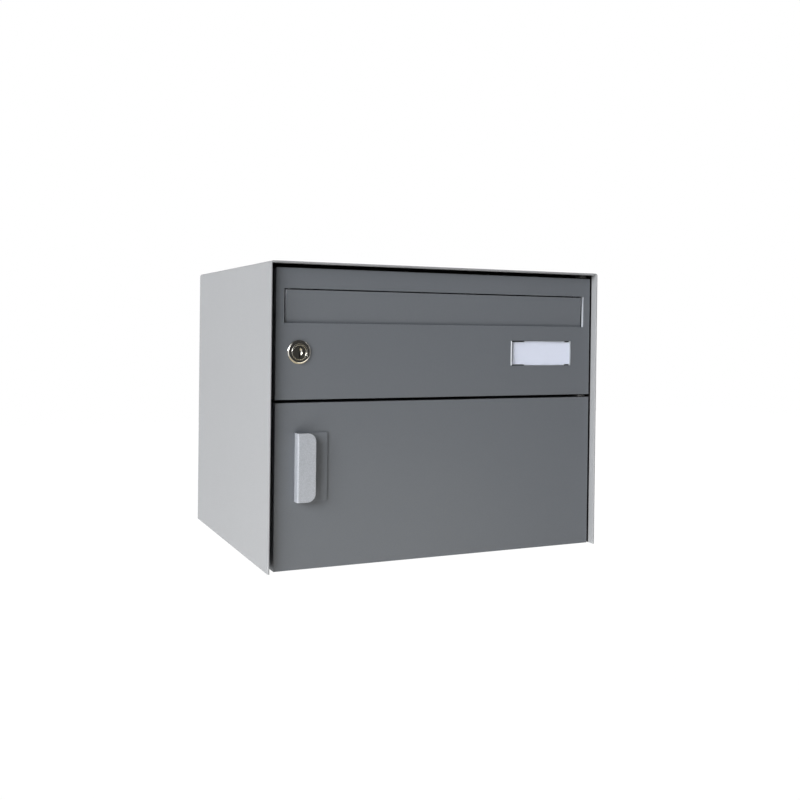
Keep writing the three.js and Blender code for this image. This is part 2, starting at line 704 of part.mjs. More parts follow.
// A plate notched along its top and bottom edges near both ends of the cover, and wider by a margin.
function notched(outline, yFront, yRear, margin = 0) {
  const reach = NOTCH_DEPTH + margin;
  const notch = (left, right, edge) =>
    block([left - margin, yFront - THROUGH, edge - reach], [right + margin, yRear + THROUGH, edge + reach]);
  const notches = [PLATE.bottom, PLATE.top].flatMap((edge) => [
    notch(PLATE.left + 1.2, PLATE.left + 18.2, edge),
    notch(PLATE.right - 8.8, PLATE.right - 1.8, edge),
  ]);
  return without(frontPlate(rectangle(outline), yFront, yRear), ...notches);
}

function nameplateCover() {
  return piece("nameplate_cover", notched(PLATE, COVER_FRONT, COVER_REAR), clearPlastic);
}

// Card cut to the cover's outline, a little short of its left end.
function nameplateCard() {
  const front = COVER_REAR + CLEARANCE;
  const card = {
    left: PLATE.left + 1.6,
    right: PLATE.right - 0.5,
    bottom: PLATE.bottom + 0.4,
    top: PLATE.top - 0.4,
  };
  return piece("nameplate_card", notched(card, front, front + CARD_SHEET, 0.2), paper);
}

function nameplateHolder() {
  const front = DOOR_INSIDE + CLEARANCE;
  const tray = {
    left: PLATE.left - HOLDER_MARGIN,
    right: PLATE.right + HOLDER_MARGIN,
    bottom: PLATE.bottom - HOLDER_MARGIN,
    top: PLATE.top + HOLDER_MARGIN,
  };
  return piece("nameplate_holder", frontPlate(rectangle(tray), front, front + HOLDER_SHEET), blackPaint);
}

// ---------------------------------------------------------------- handle

// Folded plate: the front plate, a leg through the door and a foot behind it. Its free corners are round.
function handle() {
  const bend = HANDLE_BEND;
  const right = HANDLE_LEFT + HANDLE_WIDTH;
  const footFront = DOOR_INSIDE + CLEARANCE;
  const footRear = footFront + HANDLE_SHEET;
  const plateRear = HANDLE_FRONT + HANDLE_SHEET;
  const legRight = HANDLE_LEFT + HANDLE_SHEET;
  const bendX = HANDLE_LEFT + bend;
  const profile = new THREE.Shape();
  profile.moveTo(right, footFront);
  profile.lineTo(right, footRear);
  profile.lineTo(bendX, footRear);
  profile.absarc(bendX, footRear - bend, bend, Math.PI / 2, Math.PI, false);
  profile.lineTo(HANDLE_LEFT, HANDLE_FRONT + bend);
  profile.absarc(bendX, HANDLE_FRONT + bend, bend, Math.PI, 1.5 * Math.PI, false);
  profile.lineTo(right, HANDLE_FRONT);
  profile.lineTo(right, plateRear);
  profile.lineTo(legRight, plateRear);
  profile.lineTo(legRight, footFront);
  profile.closePath();
  const face = new THREE.Shape();
  face.moveTo(HANDLE_LEFT - 1, HANDLE.bottom);
  face.lineTo(right - HANDLE_CORNER, HANDLE.bottom);
  face.absarc(right - HANDLE_CORNER, HANDLE.bottom + HANDLE_CORNER, HANDLE_CORNER, -Math.PI / 2, 0, false);
  face.absarc(right - HANDLE_CORNER, HANDLE.top - HANDLE_CORNER, HANDLE_CORNER, 0, Math.PI / 2, false);
  face.lineTo(HANDLE_LEFT - 1, HANDLE.top);
  face.closePath();
  const folded = solid(levelPlate(profile, HANDLE.bottom, HANDLE.top));
  const rounded = folded.intersect(solid(frontPlate(face, HANDLE_FRONT - 1, footRear + 1)));
  const holes = STUD_HEIGHTS.map((z) =>
    bar(STUD_RADIUS + CLEARANCE, footFront - 1, footRear + 1, 16).translate(STUD_X, 0, z),
  );
  return piece("handle", without(rounded, ...holes), anodised);
}

// Plate on the door beside the handle's leg, with two studs through the door and the handle's foot.
function handleBasePlate() {
  const rear = DOOR_FACE - CLEARANCE;
  const left = HANDLE_LEFT + HANDLE_SHEET + CLEARANCE;
  const studStart = rear - BASE_SHEET / 2;
  const studEnd = DOOR_INSIDE + 8;
  const stud = (z) => bar(STUD_RADIUS, studStart, studEnd, SMALL_SEGMENTS).translate(STUD_X, 0, z);
  const plate = block([left, rear - BASE_SHEET, HANDLE.bottom], [BASE_RIGHT, rear, HANDLE.top]);
  return piece("handle_base_plate", joined(plate, ...STUD_HEIGHTS.map(stud)), greyPaint);
}

function handleNut(name, z) {
  const front = DOOR_INSIDE + CLEARANCE + HANDLE_SHEET + CLEARANCE;
  const rear = front + 3;
  const nut = hexagon(7, front, rear).translate(STUD_X, 0, z);
  const bore = bar(STUD_RADIUS + CLEARANCE, front - THROUGH, rear + THROUGH, SMALL_SEGMENTS);
  return piece(name, without(nut, bore.translate(STUD_X, 0, z)), zinc);
}

// ---------------------------------------------------------------- magnetic catch

// Plastic case beside the frame's left bar, with an ear behind the bar and a pocket for the magnet.
function magnetCatch() {
  const { left, right, front, rear, halfHeight } = CATCH;
  const bottom = HANDLE_MIDDLE - halfHeight;
  const top = HANDLE_MIDDLE + halfHeight;
  const earFront = FRAME_REAR + CLEARANCE;
  const earRear = earFront + CATCH_EAR;
  const earLeft = -FIT_X + INNER_SHEET + CLEARANCE;
  const body = joined(
    block([left, front, bottom], [right, rear, top]),
    block([earLeft, earFront, bottom], [left + 1, earRear, top]),
  );
  const pocket = block(
    [left + CATCH_WALL, front - THROUGH, HANDLE_MIDDLE - POCKET_HALF_HEIGHT],
    [right - CATCH_WALL, front + 6 + CLEARANCE, HANDLE_MIDDLE + POCKET_HALF_HEIGHT],
  );
  const hole = bar(1.8, earFront - THROUGH, earRear + THROUGH, SMALL_SEGMENTS);
  const holes = CATCH_SCREWS.map(([x, z]) => hole.clone().translate(x, 0, z));
  return piece("magnet_catch", without(body, pocket, ...holes), blackPaint);
}

function catchMagnet() {
  const { left, right, front } = CATCH;
  const gap = CATCH_WALL + CLEARANCE;
  const halfHeight = POCKET_HALF_HEIGHT - CLEARANCE;
  const magnet = block(
    [left + gap, MAGNET_FRONT, HANDLE_MIDDLE - halfHeight],
    [right - gap, front + 6, HANDLE_MIDDLE + halfHeight],
  );
  return piece("catch_magnet", magnet, zinc);
}

// Screw from behind, through the catch's ear into the frame.
function catchScrew(name, [x, z]) {
  const head = FRAME_REAR + CLEARANCE + CATCH_EAR + CLEARANCE;
  const tip = FRAME_FRONT + 0.2;
  const profile = [[0, tip], [1.3, tip], [1.3, head], [3, head], [2.4, head + 1.8], [0, head + 1.8]];
  return piece(name, turned(profile, SMALL_SEGMENTS).translate(x, 0, z), zinc);
}

// Steel plate on the back of the lower door, folded so that it stands off and meets the magnet.
function counterPlate() {
  const { left, right } = CATCH;
  const base = DOOR_INSIDE + CLEARANCE;
  const rear = MAGNET_FRONT - CLEARANCE;
  const sheet = INNER_SHEET;
  const half = CATCH.halfHeight;
  const level = (offset) => HANDLE_MIDDLE + offset;
  const foot = (from, to) => block([left, base, level(from)], [right, base + sheet, level(to)]);
  const leg = (from) => block([left, base, level(from)], [right, rear, level(from) + sheet]);
  const plate = joined(
    block([left, rear - sheet, level(-half)], [right, rear, level(half)]),
    leg(-half),
    leg(half - sheet),
    foot(-half - COUNTER_FOOT, -half + sheet),
    foot(half - sheet, half + COUNTER_FOOT),
  );
  return piece("catch_counter_plate", plate, zinc);
}

// ---------------------------------------------------------------- assembly

function group(...members) {
  const made = new THREE.Group();
  made.add(...members);
  return made;
}

const housing = group(
  outerShell(),
  rearPanel(),
  bottomPanel(),
  dividerShelf(),
  frontFrame(),
  doorSeal("upper_seal", UPPER_DOOR, true),
  doorSeal("lower_seal", LOWER_DOOR, false),
  ...BRACKETS.map(hingeBracket),
  hingePin("hinge_pin_top", UPPER_DOOR.top - 5, INSIDE_TOP - 0.4),
  hingePin("hinge_pin_middle", LOWER_DOOR.top - 5.6, UPPER_DOOR.bottom + 5.9),
  hingePin("hinge_pin_bottom", LOWER_DOOR.bottom + 0.2, LOWER_DOOR.bottom + 8),
  ...BRACKETS.flatMap(({ rivets }) => rivets).map((place, i) =>
    bracketRivet(`bracket_rivet_${i + 1}`, place),
  ),
  lockStrike(),
  magnetCatch(),
  catchMagnet(),
  ...CATCH_SCREWS.map((place, i) => catchScrew(`catch_screw_${i + 1}`, place)),
);

const flap = group(letterFlap());
flap.position.set(0, FLAP_AXIS_Y, FLAP_AXIS_Z);
flap.rotation.x = FLAP_LEAN;

const leftReturn = SLOT.left - DOOR_SHEET - CLEARANCE;
const rightReturn = SLOT.right + DOOR_SHEET + CLEARANCE;
const flapFittings = group(
  flapBracket("flap_bracket_left", {
    tabLeft: leftReturn - INNER_SHEET,
    baseLeft: leftReturn - 4,
    baseRight: leftReturn,
  }),
  flapBracket("flap_bracket_right", {
    tabLeft: rightReturn,
    baseLeft: rightReturn,
    baseRight: rightReturn + 4,
  }),
  flapRod(),
  flapSpring(),
);
flapFittings.position.copy(flap.position);

const lockFixed = group(lockBody(), lockNut());
lockFixed.position.set(LOCK_X, 0, LOCK_Z);

const lockTurning = group(lockPlug(), lockCam(), camScrew());
lockTurning.position.copy(lockFixed.position);

const upperDoor = group(
  upperDoorPanel(),
  hingeBush("upper_bush_top", UPPER_DOOR.top, -1),
  hingeBush("upper_bush_bottom", UPPER_DOOR.bottom, 1),
  flapFittings,
  flapBuffer("flap_buffer_left", -160),
  flapBuffer("flap_buffer_right", 160),
  flap,
  lockFixed,
  lockTurning,
  nameplateCover(),
  nameplateCard(),
  nameplateHolder(),
);

const lowerDoor = group(
  lowerDoorPanel(),
  hingeBush("lower_bush_top", LOWER_DOOR.top, -1),
  hingeBush("lower_bush_bottom", LOWER_DOOR.bottom, 1),
  handleBasePlate(),
  handle(),
  ...STUD_HEIGHTS.map((z, i) => handleNut(`handle_nut_${i + 1}`, z)),
  counterPlate(),
);

export default group(housing, upperDoor, lowerDoor);
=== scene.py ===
# A wall mounted mailbox: a folded silver sleeve round two hinged doors of grey sheet. The letter door has
# an inward flap, a cam lock and a name plate, and the parcel door has a folded plate handle.
# Metres, +X to the right, +Y into the wall, +Z up; the origin is the middle of the rear face.
import math

import bmesh
import bpy
from mathutils import Euler, Matrix, Vector


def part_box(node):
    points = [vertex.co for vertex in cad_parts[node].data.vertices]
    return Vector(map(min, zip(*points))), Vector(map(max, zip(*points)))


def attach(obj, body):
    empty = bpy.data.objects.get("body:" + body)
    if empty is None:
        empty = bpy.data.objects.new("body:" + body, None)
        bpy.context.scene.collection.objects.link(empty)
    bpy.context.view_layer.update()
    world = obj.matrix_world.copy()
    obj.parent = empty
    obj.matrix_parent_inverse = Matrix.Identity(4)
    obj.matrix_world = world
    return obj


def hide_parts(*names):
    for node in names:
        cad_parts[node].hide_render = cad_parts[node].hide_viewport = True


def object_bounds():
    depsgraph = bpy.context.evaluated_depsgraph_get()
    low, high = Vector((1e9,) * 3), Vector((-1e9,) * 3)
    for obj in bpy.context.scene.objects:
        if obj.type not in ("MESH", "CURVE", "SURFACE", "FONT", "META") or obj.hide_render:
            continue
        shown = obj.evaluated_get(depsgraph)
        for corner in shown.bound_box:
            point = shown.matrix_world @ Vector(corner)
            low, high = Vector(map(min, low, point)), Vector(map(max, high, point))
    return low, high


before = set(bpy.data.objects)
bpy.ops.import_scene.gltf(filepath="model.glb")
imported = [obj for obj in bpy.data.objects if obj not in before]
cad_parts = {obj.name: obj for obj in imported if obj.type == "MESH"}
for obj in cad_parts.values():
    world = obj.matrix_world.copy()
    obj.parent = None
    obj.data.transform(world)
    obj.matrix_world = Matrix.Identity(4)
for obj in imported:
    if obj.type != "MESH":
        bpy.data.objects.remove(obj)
cad_box = [list(corner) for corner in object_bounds()]

# ------------------------------------------------------------------ camera
# A view through a normal lens, from the left of the box and a little above its middle. A small shift of
# the lens places the box in the frame.
scene = bpy.context.scene
scene.view_settings.view_transform = "Standard"

camera_data = bpy.data.cameras.new("view")
camera_data.sensor_width = 36.0
camera_data.lens = 44.18
camera_data.shift_x = -0.0070
camera_data.shift_y = -0.0785
camera = bpy.data.objects.new("view", camera_data)
camera.location = (-0.4889, -1.2830, 0.0915)
camera.rotation_euler = Euler((math.radians(89.534), math.radians(-0.695), math.radians(-24.544)), "XYZ")
scene.collection.objects.link(camera)
scene.camera = camera


# ------------------------------------------------------------------ floor and light
# A pale floor well below the box, a broad soft lamp at the left, a low one, and weak ones behind and at
# the right. Curved cards that only reflections see keep the room's white out of the paint and the
# polished metal, and give the metal's lower edges the tone of sandy ground.
def add_node(tree, kind, inputs=(), **settings):
    """A node with its settings. Inputs are a list in socket order or a dict, of values and sockets."""
    made = tree.nodes.new(kind)
    for setting, value in settings.items():
        setattr(made, setting, value)
    pairs = inputs.items() if isinstance(inputs, dict) else enumerate(inputs)
    for key, value in pairs:
        if isinstance(value, bpy.types.NodeSocket):
            tree.links.new(value, made.inputs[key])
        elif value is not None:
            made.inputs[key].default_value = value
    return made


def white_where_seen(tree, lit, white):
    """Puts a white shader in front of a lit one for the eye, and for reflections and clear plastic."""
    path = add_node(tree, "ShaderNodeLightPath")
    glossy = add_node(tree, "ShaderNodeMath", [path.outputs["Is Camera Ray"], path.outputs["Is Glossy Ray"]],
                      operation="MAXIMUM")
    seen = add_node(tree, "ShaderNodeMath", [glossy.outputs[0], path.outputs["Is Transmission Ray"]],
                    operation="MAXIMUM")
    return add_node(tree, "ShaderNodeMixShader", [seen.outputs[0], lit, white]).outputs[0]


def make_world(colour, fill):
    world = bpy.data.worlds.new("studio")
    world.use_nodes = True
    scene.world = world
    tree = world.node_tree
    sky = tree.nodes["Background"]
    sky.inputs["Color"].default_value = (*colour, 1.0)
    sky.inputs["Strength"].default_value = fill
    white = add_node(tree, "ShaderNodeBackground", [(1.0, 1.0, 1.0, 1.0), 1.0])
    seen = white_where_seen(tree, sky.outputs[0], white.outputs[0])
    tree.links.new(seen, tree.nodes["World Output"].inputs["Surface"])


def set_in_scene(name, mesh):
    made = bpy.data.objects.new(name, mesh)
    scene.collection.objects.link(made)
    return made


def stage_card(name, corners, cells, material):
    """A card of the studio, which is no part of the box."""
    mesh = bpy.data.meshes.new(name)
    mesh.from_pydata(corners, [], cells)
    mesh.materials.append(material)
    card = set_in_scene(name, mesh)
    return card


def new_material(name, **sockets):
    """A material's tree and its Principled BSDF, with plain values set on the shader's own sockets."""
    material = bpy.data.materials.new(name)
    material.use_nodes = True
    surface = material.node_tree.nodes["Principled BSDF"]
    for label, value in sockets.items():
        surface.inputs[label.replace("_", " ").title().replace("Ior", "IOR")].default_value = (
            (*value, 1.0) if isinstance(value, tuple) else value)
    return material, material.node_tree, surface


def make_floor(height, half, colour, shadow_reach):
    """White to the eye, with a share of the lit surface left so that the floor keeps its shadow."""
    material, tree, surface = new_material("floor_pale", base_color=colour, roughness=0.9)
    glow = add_node(tree, "ShaderNodeEmission", [(1.0, 1.0, 1.0, 1.0), 1.04])
    mostly_white = add_node(tree, "ShaderNodeMixShader", [0.92, surface.outputs[0], glow.outputs[0]])
    place = add_node(tree, "ShaderNodeTexCoord").outputs["Object"]
    away = add_node(tree, "ShaderNodeVectorMath", [place], operation="LENGTH").outputs["Value"]
    far = add_node(tree, "ShaderNodeMapRange", [away, shadow_reach, shadow_reach * 1.6]).outputs[0]
    faded = add_node(tree, "ShaderNodeMixShader", [far, mostly_white.outputs[0], glow.outputs[0]])
    seen = white_where_seen(tree, surface.outputs[0], faded.outputs[0])
    tree.links.new(seen, tree.nodes["Material Output"].inputs["Surface"])
    corners = [(x * half, y * half, height) for x, y in ((-1, -1), (1, -1), (1, 1), (-1, 1))]
    stage_card("floor", corners, [(0, 1, 2, 3)], material)


def placed(azimuth, elevation, distance):
    """A place seen from the middle of the front: degrees left of straight ahead and above level."""
    left, up = math.radians(azimuth), math.radians(elevation)
    level = distance * math.cos(up)
    return front_middle + Vector((-level * math.sin(left), -level * math.cos(left), distance * math.sin(up)))


def area_lamp(name, place, size, power, colour=(1.0, 1.0, 1.0)):
    data = bpy.data.lights.new(name, "AREA")
    data.shape = "RECTANGLE"
    data.size, data.size_y = size
    data.energy = power
    data.color = colour
    lamp = set_in_scene(name, data)
    lamp.location = place
    lamp.rotation_euler = (front_middle - place).to_track_quat("-Z", "Y").to_euler()


def reflected_patch(name, azimuths, elevations, distance, material):
    """A curved card that only reflections see, between two azimuths and two elevations."""
    steps = 12
    row = steps + 1

    def between(pair, i):
        return pair[0] + (pair[1] - pair[0]) * i / steps

    places = [placed(between(azimuths, i), between(elevations, j), distance)
              for j in range(row) for i in range(row)]
    cells = [(j * row + i, j * row + i + 1, (j + 1) * row + i + 1, (j + 1) * row + i)
             for j in range(steps) for i in range(steps)]
    patch = stage_card(name, places, cells, material)
    patch.visible_camera = False
    patch.visible_diffuse = False
    patch.visible_shadow = False


def card_material(name, glow=(0.0, 0.0, 0.0), strength=0.0):
    """Black card, or card that glows as if it stood in the light."""
    return new_material(name, base_color=(0.01, 0.01, 0.01), emission_color=glow,
                        emission_strength=strength)[0]


card_black = card_material("card_black")
card_sand = card_material("card_sand", (0.50, 0.45, 0.32), 1.0)
card_ground = card_material("card_ground", (0.50, 0.48, 0.42), 4.8)
front_middle = Vector((0.0, cad_box[0][1], 0.0))
make_world(colour=(0.95, 0.97, 1.0), fill=0.06)
make_floor(height=-0.62, half=6.0, colour=(0.86, 0.86, 0.85), shadow_reach=1.4)
area_lamp("key_light", placed(61, 19, 8.0), (4.6, 3.6), 720.0, (0.97, 0.99, 1.0))
area_lamp("low_light", placed(56, -46, 0.85), (1.0, 0.4), 5.0, (1.0, 0.99, 0.96))
area_lamp("rear_light", placed(-160, 40, 4.0), (3.0, 3.0), 55.0)
area_lamp("right_light", placed(-102, 6, 4.0), (2.4, 2.4), 75.0)
reflected_patch("dark_front", (-62, 34), (-16, 45), 1.9, card_black)
reflected_patch("dark_above", (-115, 115), (45, 90), 1.9, card_black)
reflected_patch("dark_right", (-115, -70), (-60, 45), 0.8, card_black)
reflected_patch("ground_front", (-36, 22), (-29, -15), 0.6, card_ground)
reflected_patch("sand_front", (-66, 0), (-84, -30), 0.6, card_sand)
reflected_patch("sand_left", (0, 105), (-84, -14), 0.6, card_sand)


# ------------------------------------------------------------------ sleeve
# One 2 mm aluminium sheet folded over the left side, the top and the right side, open below. It is cut
# square at the front and has a fine silver powder coat. Its inner faces just behind the doors' faces are
# painted near black, as painted shade of the gaps round the doors.
def new_geometry_tree(name, **inputs):
    """A geometry tree with a mesh coming in, the named sizes and a material, and a mesh going out."""
    tree = bpy.data.node_groups.new(name, "GeometryNodeTree")
    for label, kind in {"geometry": "Geometry", **inputs, "material": "Material"}.items():
        tree.interface.new_socket(name=label.replace("_", " ").title(), in_out="INPUT",
                                  socket_type="NodeSocket" + kind)
    tree.interface.new_socket(name="Geometry", in_out="OUTPUT", socket_type="NodeSocketGeometry")
    return tree, add_node(tree, "NodeGroupInput").outputs


def end_geometry_tree(tree, made, material):
    whole = add_node(tree, "GeometryNodeRealizeInstances", [made])
    clad = add_node(tree, "GeometryNodeSetMaterial", {"Geometry": whole.outputs[0], "Material": material})
    add_node(tree, "NodeGroupOutput", [clad.outputs[0]])
    return tree


def swept_section_tree():
    """Sweeps a rectangular section along the incoming line. The line's corners are bent round, and so
    are the section's own corners."""
    tree, given = new_geometry_tree("swept_section", thickness="Float", run="Float", bend_radius="Float",
                                    bend_steps="Int", corner_radius="Float", corner_steps="Int")
    line = add_node(tree, "GeometryNodeMeshToCurve", [given["Geometry"]])
    route = add_node(tree, "GeometryNodeFilletCurve", {
        "Curve": line.outputs[0], "Radius": given["Bend Radius"], "Count": given["Bend Steps"]}, mode="POLY")
    section = add_node(tree, "GeometryNodeCurvePrimitiveQuadrilateral", {
        "Width": given["Thickness"], "Height": given["Run"]})
    eased = add_node(tree, "GeometryNodeFilletCurve", {
        "Curve": section.outputs[0], "Radius": given["Corner Radius"], "Count": given["Corner Steps"]},
        mode="POLY")
    swept = add_node(tree, "GeometryNodeCurveToMesh", {
        "Curve": route.outputs[0], "Profile Curve": eased.outputs[0], "Fill Caps": True})
    return end_geometry_tree(tree, swept.outputs[0], given["Material"])


def grow(name, start, tree, **sizes):
    """Runs a geometry tree on a starting mesh and keeps the result as a plain mesh on a new object."""
    made = set_in_scene(name, start)
    modifier = made.modifiers.new(tree.name, "NODES")
    modifier.node_group = tree
    for item in tree.interface.items_tree:
        label = item.name.lower().replace(" ", "_")
        if item.in_out == "INPUT" and label in sizes:
            modifier[item.identifier] = sizes[label]
    grown = bpy.data.meshes.new_from_object(made.evaluated_get(bpy.context.evaluated_depsgraph_get()))
    made.modifiers.remove(modifier)
    made.data = grown
    grown.name = name
    return made


def line_mesh(name, points):
    """A mesh of one open line through the points."""
    mesh = bpy.data.meshes.new(name)
    mesh.from_pydata(points, [(i, i + 1) for i in range(len(points) - 1)], [])
    return mesh


def keep_flats(made):
    """Flats beside a bend stay flat: normals weighted by face area, split at edges marked sharp."""
    weighted = made.modifiers.new("flat_faces", "WEIGHTED_NORMAL")
    weighted.keep_sharp = True
    weighted.weight = 100
    return made


def smooth_flats(made, sharpest=35.0):
    """Shades the bends round, and keeps the flats flat and the edges over an angle sharp."""
    made.data.shade_smooth()
    made.data.set_sharp_from_angle(angle=math.radians(sharpest))
    return keep_flats(made)


def shader_group(name, outputs=("Colour", "Roughness", "Height"), **inputs):
    """A shader node group with a number or colour for each input, and the coordinates its effects use."""
    tree = bpy.data.node_groups.new(name, "ShaderNodeTree")
    for label, default in inputs.items():
        is_colour = isinstance(default, tuple)
        socket = tree.interface.new_socket(name=label.replace("_", " ").title(), in_out="INPUT",
                                           socket_type="NodeSocketColor" if is_colour else "NodeSocketFloat")
        socket.default_value = (*default, 1.0) if is_colour else default
    for label in outputs:
        tree.interface.new_socket(name=label, in_out="OUTPUT",
                                  socket_type="NodeSocketColor" if label == "Colour" else "NodeSocketFloat")
    given = add_node(tree, "NodeGroupInput").outputs
    place = add_node(tree, "ShaderNodeTexCoord").outputs["Object"]
    return tree, given, add_node(tree, "NodeGroupOutput").inputs, place


def feed(tree, ends, **sockets):
    """Joins sockets to the inputs of a shader, or to the outputs of the group they are in."""
    for label, socket in sockets.items():
        tree.links.new(socket, ends[label.replace("_", " ").title()])
    return tree


def maths(tree, operation, *values):
    return add_node(tree, "ShaderNodeMath", values, operation=operation).outputs[0]


def noise(tree, place, scale, detail=2.0):
    made = add_node(tree, "ShaderNodeTexNoise", {"Vector": place, "Scale": scale, "Detail": detail})
    return made.outputs[0]


def centred(tree, value, amount):
    """A 0 to 1 value moved to lie round zero and scaled."""
    return maths(tree, "MULTIPLY", maths(tree, "SUBTRACT", value, 0.5), amount)


def shaded(tree, colour, light):
    """A colour times a number."""
    return add_node(tree, "ShaderNodeVectorMath", {0: colour, "Scale": light}, operation="SCALE").outputs[0]


def powder_coat_group():
    """Sprayed and baked paint: a slow colour drift, single bright grains and a fine orange peel."""
    tree, given, made, place = shader_group("powder_coat", colour=(0.5, 0.5, 0.5), drift=0.03, grain=0.05,
                                            grain_scale=1500.0, roughness=0.45, gloss_drift=0.05)
    grains = add_node(tree, "ShaderNodeTexVoronoi", {"Vector": place, "Scale": given["Grain Scale"]})
    grain = add_node(tree, "ShaderNodeSeparateColor", [grains.outputs["Color"]]).outputs["Red"]
    cloud = centred(tree, noise(tree, place, 9.0, 3.0), given["Drift"])
    light = maths(tree, "ADD", maths(tree, "ADD", cloud, centred(tree, grain, given["Grain"])), 1.0)
    gloss = centred(tree, noise(tree, place, 35.0, 3.0), given["Gloss Drift"])
    broad_peel = maths(tree, "MULTIPLY", noise(tree, place, 260.0), 0.6)
    peel = maths(tree, "ADD", noise(tree, place, 900.0), broad_peel)
    return feed(tree, made, colour=shaded(tree, given["Colour"], light),
                roughness=maths(tree, "ADD", given["Roughness"], gloss), height=peel)


def dust_group():
    """Fine dust and wiped smears: more on faces that look up, broken by noise."""
    tree, given, made, place = shader_group("settled_dust", outputs=("Mask",), amount=0.3, scale=60.0)
    normal = add_node(tree, "ShaderNodeNewGeometry").outputs["Normal"]
    up = add_node(tree, "ShaderNodeSeparateXYZ", [normal]).outputs["Z"]
    facing = maths(tree, "ADD", maths(tree, "MULTIPLY", maths(tree, "MAXIMUM", up, 0.0), 0.7), 0.3)
    patches = noise(tree, place, given["Scale"], 5.0)
    spread = add_node(tree, "ShaderNodeMapRange", [patches, 0.42, 0.72, 0.0, 1.0]).outputs[0]
    settled = maths(tree, "MULTIPLY", spread, facing)
    return feed(tree, made, mask=maths(tree, "MULTIPLY", settled, given["Amount"]))


def mixed_colour(tree, mask, below, above):
    """One colour over another by a mask. Either may be a socket or a plain RGB colour."""
    mix = add_node(tree, "ShaderNodeMix", data_type="RGBA")
    for key, value in (("Factor_Float", mask), ("A_Color", below), ("B_Color", above)):
        socket = next(s for s in mix.inputs if s.identifier == key)
        if isinstance(value, bpy.types.NodeSocket):
            tree.links.new(value, socket)
        else:
            socket.default_value = (*value, 1.0)
    return next(s for s in mix.outputs if s.identifier == "Result_Color")


def grouped(tree, group, **values):
    """Places a shader group in a material with its own values."""
    made = add_node(tree, "ShaderNodeGroup", node_tree=group)
    for label, value in values.items():
        made.inputs[label.replace("_", " ").title()].default_value = (
            (*value, 1.0) if isinstance(value, tuple) else value)
    return made.outputs


def dress(tree, surface, colour, roughness, height, relief):
    """Joins a surface's colour, its gloss if it varies, and a relief of the given depth to its shader."""
    bump = add_node(tree, "ShaderNodeBump", {"Height": height, "Distance": relief})
    feed(tree, surface.inputs, base_color=colour, normal=bump.outputs[0])
    if roughness:
        feed(tree, surface.inputs, roughness=roughness)


def coated(name, colour, roughness, peel=0.00002, dust=0.1, dust_colour=(0.45, 0.43, 0.40), gap_shade=None,
           coat=None, **sockets):
    """Powder coated sheet: the coat's colour, gloss and peel, with a trace of dust. A colour given for the
    inner band is painted shade: it blackens the inner faces of the sleeve behind the doors' faces."""
    material, tree, surface = new_material(name, **sockets)
    paint = grouped(tree, powder_coat, colour=colour, roughness=roughness, **(coat or {}))
    mask = grouped(tree, settled_dust, amount=dust)["Mask"]
    shown = mixed_colour(tree, mask, paint["Colour"], dust_colour)
    if gap_shade:
        shown = mixed_colour(tree, gap_shade_mask(tree), shown, gap_shade)
    dulled = maths(tree, "ADD", paint["Roughness"], maths(tree, "MULTIPLY", mask, 0.3))
    dress(tree, surface, shown, dulled, paint["Height"], peel)
    return material


def gap_shade_mask(tree):
    """1 on the sleeve's inner faces between the doors' faces and the front frame, where shade is painted."""
    place = add_node(tree, "ShaderNodeTexCoord").outputs["Object"]
    x, y, z = add_node(tree, "ShaderNodeSeparateXYZ", [place]).outputs
    skin = SLEEVE_SHEET * 0.8
    inside = maths(tree, "MULTIPLY",
                   maths(tree, "LESS_THAN", maths(tree, "ABSOLUTE", x), sleeve_half_width - skin),
                   maths(tree, "LESS_THAN", z, sleeve_top - skin))
    band = maths(tree, "MULTIPLY", maths(tree, "GREATER_THAN", y, GAP_SHADE_FRONT),
                 maths(tree, "LESS_THAN", y, GAP_SHADE_REAR))
    return maths(tree, "MULTIPLY", inside, band)


def finish_piece(made, body, slot, material, *nodes):
    """Gives a piece its material and its body, and hides the nodes that it stands for. The slot is not used.
    """
    made.data.materials.clear()
    made.data.materials.append(material)
    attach(made, body)
    if nodes:
        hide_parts(*nodes)
    return made


SLEEVE_SHEET = 0.002
SLEEVE_BEND = 0.003
SLEEVE_EDGE = 0.0009
# Between these two depths the sleeve's inner faces get painted shade, for the dark gaps round the doors.
GAP_SHADE_FRONT = -0.3106
GAP_SHADE_REAR = -0.2880
sleeve_low, sleeve_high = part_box("outer_shell")
sleeve_half_width = sleeve_high[0]
sleeve_top = sleeve_high[2]
powder_coat = powder_coat_group()
settled_dust = dust_group()
swept_section = swept_section_tree()
# The near-black colour of the inner band is painted shade, not a coat the sleeve has.
sleeve_paint = coated("sleeve_silver", (0.335, 0.338, 0.349), roughness=0.5, coat={"grain": 0.06},
                      gap_shade=(0.016, 0.014, 0.014), specular_ior_level=0.3)

side = sleeve_half_width - SLEEVE_SHEET / 2
crown = sleeve_top - SLEEVE_SHEET / 2
half_depth = sleeve_low[1] / 2
sleeve = grow("sleeve", line_mesh("sleeve_line", [
    (-side, half_depth, sleeve_low[2]), (-side, half_depth, crown), (side, half_depth, crown),
    (side, half_depth, sleeve_low[2])]), swept_section,
    thickness=SLEEVE_SHEET, run=-sleeve_low[1], bend_radius=SLEEVE_BEND - SLEEVE_SHEET / 2, bend_steps=10,
    corner_radius=SLEEVE_EDGE, corner_steps=5)
finish_piece(smooth_flats(sleeve), "housing", "shell_silver", sleeve_paint, "outer_shell")


# ------------------------------------------------------------------ rear tray, floor and shelf
# Inner sheets of 1.5 mm aluminium in the same silver coat, folded at their edges and bonded inside the
# sleeve. The rear tray has four holes for the wall screws.
def cad_copy(node, name):
    """An object with the node's own mesh, its loose triangles merged into whole flat faces."""
    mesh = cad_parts[node].data.copy()
    mesh.name = name
    body = bmesh.new()
    body.from_mesh(mesh)
    bmesh.ops.remove_doubles(body, verts=body.verts, dist=2e-6)
    bmesh.ops.dissolve_limit(body, angle_limit=math.radians(0.5), verts=body.verts, edges=body.edges)
    body.to_mesh(mesh)
    body.free()
    return set_in_scene(name, mesh)


